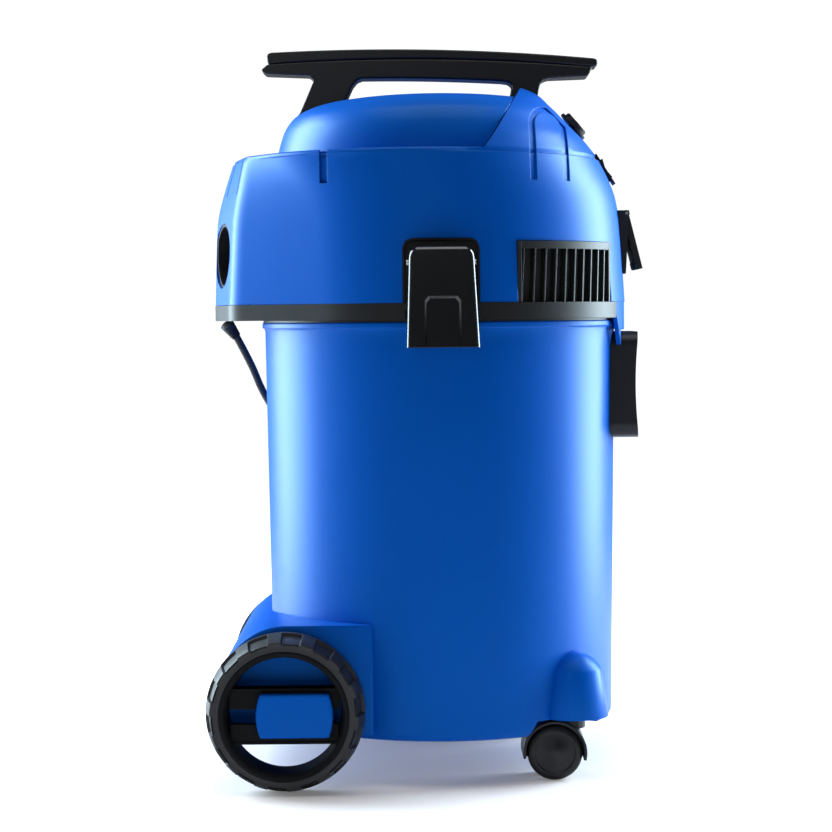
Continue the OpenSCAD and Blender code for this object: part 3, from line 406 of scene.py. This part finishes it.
def cut(made, *shapes, keep="DIFFERENCE"):
    """Takes closed shapes out of a piece, or joins them to it."""
    for shape in shapes:
        tool_mesh = bpy.data.meshes.new("tool")
        tool_mesh.from_pydata([spot(*p) for p in shape[0]], [], shape[1])
        tool = bpy.data.objects.new("tool", tool_mesh)
        bpy.context.scene.collection.objects.link(tool)
        tidy(tool)
        change = made.modifiers.new("cut", "BOOLEAN")
        change.operation, change.object, change.solver = keep, tool, "EXACT"
        bpy.context.view_layer.update()
        result = bpy.data.meshes.new_from_object(made.evaluated_get(bpy.context.evaluated_depsgraph_get()))
        made.modifiers.clear()
        made.data = result
        bpy.data.objects.remove(tool)
    tidy(made)
    return made


def tank_r(z):
    """Radius of the drum's wall at a height."""
    return tank_foot_r + (tank_rim_r - tank_foot_r) * (z - tank_foot_z) / (tank_rim_z - tank_foot_z)


wall = [(tank_r(z), z) for z in range(54, 400, 12)]
inside = [(tank_r(z) - 3, z) for z in range(390, 70, -40)]
foot_curve = [(0, 44), (146, 44), (148, 41), (154.5, 41), (157.3, 42.2), (158.8, 45), (159.1, 50)]
rolled_rim = [(163.4, 401), (164.2, 403.2), (165.7, 404), (166, 405), (166, 408), (165.3, 409), (161, 409),
              (160.4, 408)]
drum = turned(foot_curve + wall + rolled_rim + inside + [(156.2, 66), (153, 60), (0, 59)], 168)
tank = piece("tank_drum", drum, blue, "base", ("tank", "tank_floor", "tank_catches"),
             crease=38)
pocket = turned([(0, 30), (51.5, 30), (50, 41), (41, 54.5), (0, 54.5)], 72, (castor_x, -castor_y, 0))
inlet_hole = placed(turned([(0, 140), (29, 140), (29, 175), (0, 175)], 64), (0, 0, 349), ALONG_X)
cut(tank, pocket, mirrored(pocket), inlet_hole)

boss = turned([(0, 54.5), (29, 54.5), (31, 54.9), (31.4, 56), (25.3, 96.6), (24.4, 98.4), (20.5, 103.6),
               (15, 108.4), (8, 112.4), (0, 114)], 72, (castor_x + 4, -castor_y, 0))
piece("boss_pair", together(boss, mirrored(boss)), blue, "base", ("castor_bosses",))

housing_r, flatter, housing_foot_z, housing_front_x = 74, 9, 46, -62.5


def housing_outline(inset):
    """Side view of the rear housing: round behind, with a flat roof and foot towards the tank."""
    r = housing_r - inset
    low = degrees(asin((housing_foot_z + inset - axle_z) / r))
    arc = [(axle_x + (r - flatter) * cos(radians(a)), axle_z + r * sin(radians(a)))
           for a in [90 + k * (90 - low) / 40 for k in range(41)]]
    front_x = housing_front_x - inset
    return arc + [(front_x, housing_foot_z + inset), (front_x, axle_z + r)]


side_steps = [(40, 150.5), (2.6, 150.5), (1.2, 150.2), (0.3, 149.4), (0, 148)]
rings = [[(x, -y, z) for x, z in housing_outline(g)] for g, y in side_steps]
rings += [[(x, y, z) for x, z in housing_outline(g)] for g, y in reversed(side_steps)]
piece("rear_housing", loft(rings), blue, "base", ("axle_housing",), crease=30)


# Rear wheels: a black tyre of hard plastic with 14 wide notches on an open dished rim, two ribs across
# it, a steel axle with push-on clips, and a blue cover that snaps over the hub, left plain here.
wheel_r, lugs = 69.7, 14
grey = moulded("charcoal_plastic", (0.012, 0.0125, 0.014), 0.42, grain=0.16)
dull = moulded("rim_plastic", (0.010, 0.010, 0.011), 0.62, grain=0.2, shine=0.06)
tread = moulded("tyre_plastic", (0.028, 0.028, 0.031), 0.46, grain=0.22, drift=0.2, edge=0.5)
notch = 2.6
lug_cut = [(0, notch), (0.18, notch), (0.36, notch), (0.54, notch), (0.57, 0), (0.78, 0), (0.97, 0)]
# Radius and place along the axle of each ring of the tyre, and whether the notches reach it.
tyre_rows = [(56.5, 153, 0), (66.5, 153, 0), (69.0, 154, 0), (wheel_r, 156, 0), (wheel_r, 162, 0),
             (wheel_r - 0.2, 163, 1), (67.6, 174, 1), (65.2, 183.4, 1), (64.4, 184.7, 1), (63.4, 185, 0),
             (60.5, 184.4, 0), (60.5, 184.4, 0), (57.5, 184.8, 0), (56.5, 184.2, 0)]
rim_line = [(56.5, 153), (57, 184), (56, 184.9), (54.4, 185.3), (52.8, 184.7), (51.6, 183), (50.6, 178),
            (49.4, 160), (49, 154), (50, 153)]
hub_line = [(0, 153), (15, 153), (15, 170), (14, 171), (0, 171)]
rib_r, lip_thick = 52, 2.2
cover_ahead, half_w, half_h, cover_bow = 9, 33.4, 19, 3.84
cover_steps = [(0, 177), (0, 183), (0.4, 184.2), (1.3, 184.9), (3, 185)]


def tyre_ring(r, y, notched):
    """One ring round the tyre, sunk at the notches where they reach it."""
    ring = []
    for n in range(lugs):
        for share, drop in lug_cut:
            spin, here = tau * (n + share) / lugs, r - drop * notched
            ring.append((here * cos(spin), -y, here * sin(spin)))
    return ring


def rib(z0, z1):
    """One of the two flat ribs across the rim, thickened along its outer edge."""
    reach = sqrt(rib_r ** 2 - max(abs(z0), abs(z1)) ** 2) + 1.5
    lip = (z1 - lip_thick, z1) if z1 > 0 else (z0, z0 + lip_thick)
    return together(block(-reach, reach, -176, -168, z0, z1), block(-reach, reach, -177.2, -160, *lip))


def cover_outline(inset):
    """Front view of the hub cover: upright sides that bow inwards, flat above and below."""
    left = [(cover_bow * abs(t) ** 2.2 - half_w, half_h * t) for t in [-1 + k / 6 for k in range(13)]]
    whole = left + [(-x, z) for x, z in reversed(left)]
    return [(x * (1 - inset / half_w), z * (1 - inset / half_h)) for x, z in whole]


def as_drawn(shape):
    """The right side is drawn in place; mirrored() makes the left one."""
    return shape


for side, flip in (("right", as_drawn), ("left", mirrored)):
    body, at_axle = f"{side}_wheel", (axle_x, 0, axle_z)
    tyre = placed(loft([tyre_ring(*row) for row in tyre_rows + tyre_rows[:1]], caps=False), at_axle)
    piece(f"tyre_{side}", flip(tyre), tread, body, (f"wheel_tyre_{side}",), crease=28)
    rim = turned(rim_line, 96, axis=AGAINST_Y, ring=True)
    hub = turned(hub_line, 48, axis=AGAINST_Y)
    whole = placed(together(rim, hub, rib(5.2, 23.5), rib(-25.4, -7.9)), at_axle)
    piece(f"rim_{side}", flip(whole), dull, body, (f"wheel_rim_{side}",), bevel=0.5)
    cover = loft([[(x, -y, z) for x, z in cover_outline(g)] for g, y in cover_steps])
    cover = placed(cover, (axle_x + cover_ahead, 0, axle_z))
    piece(f"hub_cover_{side}", flip(cover), blue, body, (f"wheel_badge_{side}",))


# Castors: twin black wheels under a round hood, on a steel stem that turns in a grey sleeve in the
# tank's boss. The hood stands clear of the hollow that it swivels in.
castor_r, trail, hood_r, hood_gap, hood_half = 24.6, 14, 28.6, 1.5, 22
roller_line = [(3.2, 6.6), (22.8, 6.6), (24.2, 7.4), (castor_r, 8.6), (castor_r, 16.6), (24.2, 18.4),
               (22.6, 20.2), (19.4, 21.3), (18.2, 21.1), (17.4, 20.3), (8, 20.9), (6.4, 21.8), (0, 22),
               (0, 20.8), (3.2, 20.6)]
hood_span = [radians(a) for a in range(-14, 195, 6)]
hood_over = [(hood_r * cos(a), hood_r * sin(a)) for a in hood_span]
hood_under = [((castor_r + hood_gap) * cos(a), (castor_r + hood_gap) * sin(a)) for a in reversed(hood_span)]

for side, flip in (("right", as_drawn), ("left", mirrored)):
    centre = (castor_x - trail, -castor_y, castor_r)
    disc = turned(roller_line, 64, ring=True)
    far_disc = placed(mirrored(disc), centre, ALONG_Y @ Matrix.Rotation(pi, 3, "X"))
    rollers = together(placed(disc, centre, ALONG_Y), far_disc)
    piece(f"castor_rollers_{side}", flip(rollers), black, f"{side}_castor_wheels",
          (f"castor_wheels_{side}",), crease=30)
    arch = side_slab(hood_over + hood_under, -hood_half, hood_half)
    web = side_slab(hood_over + [(-26, -6), (26, -6)], -5.6, 5.6)
    neck = turned([(0, 20), (14.4, 20), (14.4, 29.4), (0, 29.4)], 48, (trail, 0, 0))
    shoulder = block(-7, 22, -14.2, 14.2, 16, 27.4)
    hood = placed(together(arch, web, neck, shoulder), centre)
    piece(f"castor_fork_{side}", flip(hood), black, f"{side}_castor",
          (f"castor_hood_{side}",), bevel=0.6, weld=False)


# Lower band of the head: one charcoal moulding that closes the head below. It carries the motor deck,
# the linings of the latch recesses and the slotted exhaust grilles, and is screwed up into the shell.
# Each level: height, radius and middle of the round front, reach of the rear ridge, and how far back
# and how wide the corners are where the facets start.
head_levels = [(411, 172.5, 1.8, 211.5, 190.5, 72), (425.5, 172.1, 1.3, 211.1, 189.6, 72),
               (478, 170.7, -0.5, 209.5, 186.5, 72), (506.4, 169.9, -2.2, 207.5, 184.5, 71),
               (530.2, 168.7, -6.4, 201.5, 180.5, 70), (560, 167, -19, 191.5, 175.5, 68)]
columns_round = 288
turns = [tau * k / columns_round - pi for k in range(columns_round)]


def head_radius(spin, r, mid, back, corner, half):
    """How far the head reaches at a turn: a circle in front, two flat facets meeting behind."""
    reach = mid * cos(spin) + sqrt(r * r - (mid * sin(spin)) ** 2)
    away, lean = sqrt((corner + mid) ** 2 + half * half), atan2(half, -corner - mid)
    touch = lean - acos(r / away)
    path = [(mid + r * cos(touch), r * sin(touch)), (-corner, half), (-back, 0)]
    way = (cos(spin), abs(sin(spin)))
    for (ax, ay), (bx, by) in zip(path, path[1:]):
        cross = way[0] * (by - ay) - way[1] * (bx - ax)
        if abs(cross) > 1e-9:
            along = (ax * (by - ay) - ay * (bx - ax)) / cross
            share = (ax * way[1] - ay * way[0]) / cross
            if along > 0 and -1e-6 <= share <= 1.000001:
                reach = max(reach, along)
    return reach


def head_ring(level, inset=0, z=None):
    """Outline of the head at one level, its edges rounded over a few degrees."""
    sharp = [head_radius(spin, *level[1:]) for spin in turns]
    soft = [sum(w * sharp[(k + d) % columns_round] for d, w in ((-2, 1), (-1, 2), (0, 3), (1, 2), (2, 1))) / 9
            for k in range(columns_round)]
    return [((r - inset) * cos(spin), (r - inset) * sin(spin), level[0] if z is None else z)
            for r, spin in zip(soft, turns)]


def arc_block(a0, a1, r0, r1, z0, z1, steps=1, lean=0):
    """A block bent round the tank's axis, between two angles from straight ahead."""
    def row(r, z, shift):
        spins = [radians(a0 + shift + (a1 - a0) * k / steps) for k in range(steps + 1)]
        return [(r * cos(a), r * sin(a), z) for a in spins]

    rows = [row(r0, z0, 0), row(r1, z0, 0), row(r1, z1, lean), row(r0, z1, lean)]
    points, faces = loft(rows + rows[:1], closed=False, caps=False)
    ends = [tuple(i * (steps + 1) + k for i in range(4)) for k in (0, steps)]
    return points, faces + ends


foot, band_thick, band_top = head_levels[0], 4, 425.3
wall_ring = loft([head_ring(foot), head_ring(foot, 0, band_top), head_ring(foot, band_thick, band_top),
                  head_ring(foot, band_thick), head_ring(foot)], caps=False)
deck = loft([head_ring(foot, 3.5, 419.5), head_ring(foot, 3.5, 423.5)])
seat = turned([(156.5, 411), (165, 411), (165, 420), (156.5, 420)], 96, ring=True)
band = piece("lower_band_skin", wall_ring, grey, "head", ("lower_band",), crease=40)
eye_r = 34
motor_deck = piece("motor_deck", deck, grey, "head", crease=40)
cut(motor_deck, turned([(0, 400), (eye_r, 400), (eye_r, 440), (0, 440)], 64))
piece("gasket_seat", seat, grey, "head", crease=40)
latch_ways = [block(-31.5, 31.5, y, y + 12, 400, 420) for y in (-178, 166)]
cut(band, arc_block(-23.2, 23.2, 166, 190, 400, 426, 12), *latch_ways)

slots, slot_foot, slot_head = 10, 424, 472
first, last, grille_foot, grille_head = -67.3, -26.5, 417, 478.6      # two turns and two heights
frame_in, frame_out, post, bar_half = 165, 172.2, 1.3, 0.27
bars = [arc_block(first, last, frame_in, frame_out, grille_foot, slot_foot, 24),
        arc_block(first, last, frame_in, frame_out, slot_head, grille_head, 24),
        arc_block(first, first + post, frame_in, frame_out, grille_foot, grille_head, 2),
        arc_block(last - post, last, frame_in, frame_out, grille_foot, grille_head, 2)]
for n in range(slots + 1):
    middle = first + 1.2 + (last - first - 2.4) * n / slots
    bars.append(arc_block(middle - bar_half, middle + bar_half, 165.5, 171.9, slot_foot - 1, slot_head + 1,
                          lean=0.9))
half_bars = together(*bars)
piece("exhaust_grilles", together(half_bars, mirrored(half_bars)), grey, "head",
      crease=30, bevel=0.25)

mouth_y, back_y = -168, -161


def recess_line(g):
    """Outline of a latch recess in X and Z, drawn in by g."""
    return [(-33.3 + g, 421), (-33.3 + g, 473), (-31 + g, 478.8 - g / 2), (-25.4, 481.1 - g),
            (25.4, 481.1 - g), (31 - g, 478.8 - g / 2), (33.3 - g, 473), (33.3 - g, 421)]


def recess_rim(g, y):
    """That outline as a ring of points at one depth."""
    return [(x, y, z) for x, z in recess_line(g)]


lining_thick = 1.6
rims = [recess_rim(0, mouth_y), recess_rim(0, back_y), recess_rim(lining_thick, back_y),
        recess_rim(lining_thick, mouth_y), recess_rim(0, mouth_y)]
lining = [loft(rims, caps=False), side_slab(recess_line(0), back_y, back_y + 1)]
pin_y, pin_z, ear_r, ear_x, ear_half = -174, 460, 6.5, (-23.5, 23.5), 3.5
ears = [block(x - ear_half, x + ear_half, pin_y, back_y, pin_z - ear_r, pin_z + ear_r) for x in ear_x]
knuckle = turned([(2.55, -ear_half), (ear_r, -ear_half), (ear_r, ear_half), (2.55, ear_half)], 32, ring=True)
ears += [placed(knuckle, (x, pin_y, pin_z), ALONG_X) for x in ear_x]
nest = together(*lining, *ears)
piece("latch_recess_linings", together(nest, mirrored(nest)), black, "head",
      crease=30, weld=False)


# Head shell: 3 mm of injection-moulded blue plastic, round in front with two flat facets behind. Its
# raised front carries the dial and the switch. Cut-outs for latches, grilles, socket and blower.
# Each row of the raised front: height, reach ahead, reach behind, half width at its rear edge, and
# the middle that its bow is drawn from.
horn_rows = [(560, 148, 38, 156.9, -19), (575, 136, 48.5, 144, -13), (587, 124, 55.5, 130, -8),
             (599, 113, 62.5, 113, -5), (608, 104, 67.5, 92, -5), (615, 97.5, 71.5, 68, 0),
             (619.6, 91, 74, 50, 5), (622.3, 84.5, 75.8, 36, 20), (623.6, 78, 77, 16, 40)]
front_turn = atan2(horn_rows[0][3], horn_rows[0][2])
top_z, top_r, top_mid = head_levels[-1][:3]
top_edge = [(top_z - 3.5, 0), (top_z - 1.4, 0.6), (top_z - 0.3, 1.7), (top_z, 3.2)]     # height, fillet


def rear_edge(left, right, across=12):
    """Points between the two ends of the raised front, along its straight rear edge."""
    return [tuple(a + (b - a) * s / across for a, b in zip(left, right)) for s in range(1, across)]


def head_form(inset, foot_z=425.5):
    """The head's outer skin, or the same skin moved inwards."""
    rows = smooth_line(head_levels[1:], 5)
    rings = [head_ring(rows[0], inset, foot_z)]
    rings += [head_ring(row, inset) for row in rows[1:-1] if row[0] < top_z - 4]
    for z, fillet in top_edge:
        ring = head_ring(rows[-1], inset, z - inset)
        edge = []
        for (x, y, h), spin in zip(ring, turns):
            share = min(1, max(0, (abs(spin) - front_turn) / 0.12))
            scale = 1 - fillet * share / sqrt(x * x + y * y)
            edge.append((x * scale, y * scale, h))
        rings.append(edge)
    points, faces = loft(rings, caps=False)
    faces.append(tuple(reversed(range(columns_round))))
    top = len(points) - columns_round
    front = [k for k in range(columns_round) if abs(turns[k]) <= front_turn]
    rows = [row for row in smooth_line(horn_rows, 4) if row[1] - row[2] > 2.5 * inset + 0.5]
    front_ids = [top + k for k in front]
    start = rear_edge(points[front_ids[-1]], points[front_ids[0]])
    back_ids = list(range(len(points), len(points) + len(start)))
    points += start
    rear_columns = list(range(front[-1], columns_round)) + list(range(front[0] + 1))
    faces.append(tuple([top + k for k in rear_columns] + list(reversed(back_ids))))
    before = front_ids + back_ids
    first_half = acos((horn_rows[0][2] - top_mid) / top_r)
    base = [atan2(points[k][1], points[k][0] - top_mid) for k in front_ids]
    for z, ahead, behind, side, mid in rows[1:]:
        ahead, behind, side = ahead - inset, behind + inset, side - inset
        long = ahead - mid
        half = acos((behind - mid) / long)
        wide = side / sin(half)
        spins = [a * half / first_half for a in base]
        bow = [(mid + long * cos(a), wide * sin(a), z - inset) for a in spins]
        ring = bow + rear_edge(bow[-1], bow[0])
        now = list(range(len(points), len(points) + len(ring)))
        points += ring
        faces += list(zip(before, before[1:] + before[:1], now[1:] + now[:1], now))
        before = now
    faces.append(tuple(before))
    return points, faces


def side_arch(x, z, outer, inner, foot_z, y0, y1):
    """A horseshoe in X and Z, with its legs down to foot_z."""
    over = [radians(180 - 180 * k / 20) for k in range(21)]
    hoop = [(x - outer, foot_z)] + [(x + outer * cos(a), z + outer * sin(a)) for a in over]
    hoop += [(x + outer, foot_z), (x + inner, foot_z)]
    hoop += [(x + inner * cos(a), z + inner * sin(a)) for a in reversed(over)] + [(x - inner, foot_z)]
    return side_slab(hoop, y0, y1)


def both_sides(*shapes):
    """Each shape and its mirror image."""
    return [s for shape in shapes for s in (shape, mirrored(shape))]


shell = piece("head_skin", head_form(0), blue, "head", ("head_shell",), crease=32)
cut(shell, *both_sides(side_arch(97, 584, 18, 12.4, 532, -200, -60)))
cut(shell, head_form(1.5), keep="UNION")
recess = [(-33.4, 400), (-33.4, 473), (-31, 479), (-25.4, 481.3), (25.4, 481.3), (31, 479), (33.4, 473),
          (33.4, 400)]
facet_turn = Matrix.Rotation(radians(15.6), 3, "Z")
blower_hole = placed(turned([(0, -40), (30, -40), (30, 40), (0, 40)], 64), (-200.5, -30, 471),
                     facet_turn @ ALONG_X)
dome_hole = turned([(0, 540), (148.6, 540), (148.6, 561), (0, 561)], 96)
socket_hole = block(150, 190, -24, 24, 456.5, 505)
facet_slot = block(-14, 14, -1.1, 1.1, -19, 22)
cut(shell, *both_sides(side_slab(recess, -200, -150), arc_block(-67.3, -26.5, 155, 190, 400, 478.9, 24),
                       block(-105, -98.4, -190, -120, 531, 570)),
    blower_hole, dome_hole, socket_hole, placed(facet_slot, (-191, -61, 545)),
    placed(facet_slot, (-196, -21, 545)), head_form(3, 400))

# The apron hangs from the front. Each row: height, and how far round its edge lies.
edge_turn = [(386, 16.7), (400, 19.1), (408, 20.6), (417, 22.1), (426, 23.4)]
apron_in, apron_out, prong_turn = 168.8, 172.8, 16.2
sweep = [-1 + k / 8 for k in range(17)]
rounds = [(apron_in, t) for t in sweep] + [(apron_out, -t) for t in sweep]


def round_point(r, turn, z):
    """A place on a round wall, its turn in degrees from straight ahead."""
    return r * cos(radians(turn)), r * sin(radians(turn)), z


skirt = [[round_point(r, a * t, z) for r, t in rounds] for z, a in edge_turn[1:]]
prong = [[round_point(apron_in, prong_turn, z), round_point(apron_out, prong_turn, z),
          round_point(apron_out, a, z), round_point(apron_in, a, z)] for z, a in edge_turn[:2]]
apron = together(loft(skirt), loft(prong), mirrored(loft(prong)))
piece("front_apron", apron, blue, "head", crease=32, bevel=0.4)


# Dome: a second blue moulding, a shade lighter, snapped into the head's open top behind the raised
# front. The handle's two posts stand on it and are screwed down through it.
light_blue = moulded("light_blue_plastic", (0.0, 0.106, 0.55), 0.36, grain=0.08, edge=1.0, drift=0.03,
                     shine=0.30, tint=(0.18, 0.68, 1))
dome_mid = (-2.3, 0, 0)
dome_line = smooth_line([(147.8, 557), (147.4, 563), (144, 577), (138.5, 590), (128, 601), (105, 610),
                         (60, 616), (0, 617)], 5)
dome_under = [(0, 612), (60, 611), (104, 605), (126, 597), (140, 575), (144, 557)]
dome = piece("dome_skin", turned(dome_line + dome_under, 168, dome_mid, ring=True), light_blue, "head",
             ("top_dome",), crease=30)
behind_front = [(37.5, 550), (37.5, 560), (48, 575), (55, 587), (62, 599), (67, 608), (71, 615), (73.5, 620),
                (200, 620), (200, 550)]
cut(dome, side_slab(behind_front, -200, 200))


# Handle: a black grip in two halves that part along a curved seam. The lower half has both posts, the
# upper one is a cover strip. Screws come up from inside the dome.
def arc_line(x0, x1, count, height):
    """A curve in X and Z whose height is a function of X."""
    steps = [x0 + (x1 - x0) * k / count for k in range(count + 1)]
    return [(x, height(x)) for x in steps]


def seam(x):
    """Height of the line where the two halves meet."""
    return 652.4 - 0.00026 * (x + 40) ** 2


seam_gap, seam_ends = 0.35, (-157.5, 143.5)
front_post = [(141.7, 638), (139.3, 634.7), (103.6, 633.6), (98.5, 632), (95.6, 628.5), (94, 622), (92, 606),
              (64, 604), (68.6, 622), (69.6, 627), (66, 630.2)]
rear_post = [(-75, 633), (-79, 628), (-86, 613), (-90, 600), (-131, 600), (-128, 604), (-115, 633),
             (-119.2, 638), (-160, 639.8), (-164, 643.6)]
finger_line = arc_line(60, -70, 14, lambda x: 634.8 - 0.00026 * (x + 60) ** 2)
under_side = arc_line(*seam_ends, 24, seam) + front_post + finger_line + rear_post
over_side = arc_line(*seam_ends, 24, lambda x: seam(x) + seam_gap)
over_side += [(147.5, 643.6), (149, 646.5), (148.6, 650.5)]
over_side += arc_line(145, -154, 24, lambda x: 661.8 - 0.00024 * (x + 60) ** 2)
over_side += [(-157.6, 658.6), (-158.4, 656)]
grip = moulded("grip_plastic", (0.011, 0.011, 0.012), 0.30, grain=0.10, edge=1.2)
piece("handle_bar", side_slab(under_side, -15, 15), grip, "head", ("handle_lower",),
      bevel=1.6, crease=28)
piece("handle_cover", side_slab(over_side, -14.8, 14.8), grip, "head", ("handle_upper",),
      bevel=2.2, crease=28)


# Latches: a glossy black plate on each side, narrower at its top, with chamfered edges and a sunk
# panel. It turns on a steel pin near its top and hooks under a ledge of the tank.
gloss = moulded("gloss_black_plastic", (0.006, 0.006, 0.007), 0.14, grain=0.02, edge=1.2, coat=0.5,
                shine=0.5)
plate_steps = [(2.6, -190), (0.3, -188.2), (0, -187.4), (0, -182.4), (0.8, -181)]
panel_steps = [(0.8, -190.8), (-1.6, -188.2)]
cheeks = [block(-28, -24, -184, -171, 441, 470), block(24, 28, -184, -171, 441, 470),
          block(-22, 22, -184, -168, 387.4, 393)]
latch_bore = placed(turned([(0, -40), (2.6, -40), (2.6, 40), (0, 40)], 32), (0, pin_y, pin_z), ALONG_X)


def plate_outline(g):
    """Outline of a latch plate in X and Z, drawn in by g."""
    left = [(-30 + g, 387), (-27.6 + g, 464), (-26.8 + g, 468), (-24.3 + g * 0.8, 471.6 - g * 0.6),
            (-20.5, 473.4 - g)]
    right = [(21, 473.4 - g), (24.9 - g * 0.8, 471.6 - g * 0.6), (27.4 - g, 468), (28.2 - g, 464),
             (32.4 - g, 387)]
    return left + right


def panel_outline(g):
    """Outline of the sunk panel, widened by g."""
    return [(-14.4 - g, 380), (-14.4 - g, 427 + g), (-11.4 - g, 430.8 + g), (13.4 + g, 430.8 + g),
            (16.4 + g, 427 + g), (16.4 + g, 380)]


for side, flip in (("right", as_drawn), ("left", mirrored)):
    plate = loft([[(x, y, z) for x, z in plate_outline(g)] for g, y in plate_steps])
    latch = piece(f"latch_plate_{side}", flip(plate), gloss, f"{side}_latch",
                  (f"latch_{side}",), crease=25)
    panel = loft([[(x, y, z) for x, z in panel_outline(g)] for g, y in panel_steps])
    cut(latch, flip(panel))
    for cheek in cheeks:
        cut(latch, flip(cheek), keep="UNION")
    cut(latch, flip(latch_bore))


# Bought and hidden parts: motor, fan, filter, float, board, axles, pins, screws, socket, dial, switch,
# inlet and blower duct. They keep their exact shapes, and each gets the material that it is made of.
def metal(name, colour, rough, streak=60):
    """Drawn or turned metal, with fine streaks along it."""
    material = bpy.data.materials.new(name)
    g = Graph(material)
    place = g.node("TexCoord")["Object"]
    drawn = g.node("Mapping", {}, {"Vector": place, "Scale": (1, 1, streak)})["Vector"]
    line = g.node("TexNoise", {}, {"Vector": drawn, "Scale": 40.0, "Detail": 4.0})["Fac"]
    darker = [c * 0.86 for c in colour]
    tone = g.node("Mix", {"data_type": "RGBA"},
                  {"Factor": line, "A": darker + [1], "B": [*colour, 1]})["Result"]
    skin = g.node("Bump", {}, {"Strength": 0.08, "Distance": 0.0002, "Height": line})["Normal"]
    shader = g.node("BsdfPrincipled", {}, {
        "Base Color": tone, "Metallic": 1.0, "Roughness": rough + 0.12 * line, "Normal": skin})["BSDF"]
    g.node("OutputMaterial", {}, {"Surface": shader})
    return material


skins = {"blue_plastic": blue, "black_plastic": black, "grey_plastic": grey, "gloss_black": gloss,
         "tread": tread, "rubber": rubber, "steel": metal("zinc_steel", (0.60, 0.61, 0.63), 0.28),
         "aluminium": metal("aluminium", (0.75, 0.76, 0.78), 0.3),
         "copper_winding": metal("copper_winding", (0.62, 0.33, 0.17), 0.35, 400),
         "filter_paper": moulded("filter_paper", (0.80, 0.76, 0.66), 0.8, grain=0.5, edge=0.3, speckle=300),
         "foam": moulded("exhaust_foam", (0.03, 0.03, 0.032), 0.9, grain=0.9, edge=0.2, speckle=240),
         "board": moulded("circuit_board", (0.03, 0.16, 0.07), 0.5, drift=0.3),
         "white_plastic": moulded("white_plastic", (0.80, 0.81, 0.82), 0.35)}
for part in frame["record"]["subparts"]:
    node = frame["nodes"][part["node"]]
    if not node.hide_render:
        node.data.materials.clear()
        node.data.materials.append(skins[part["material_slot"]])
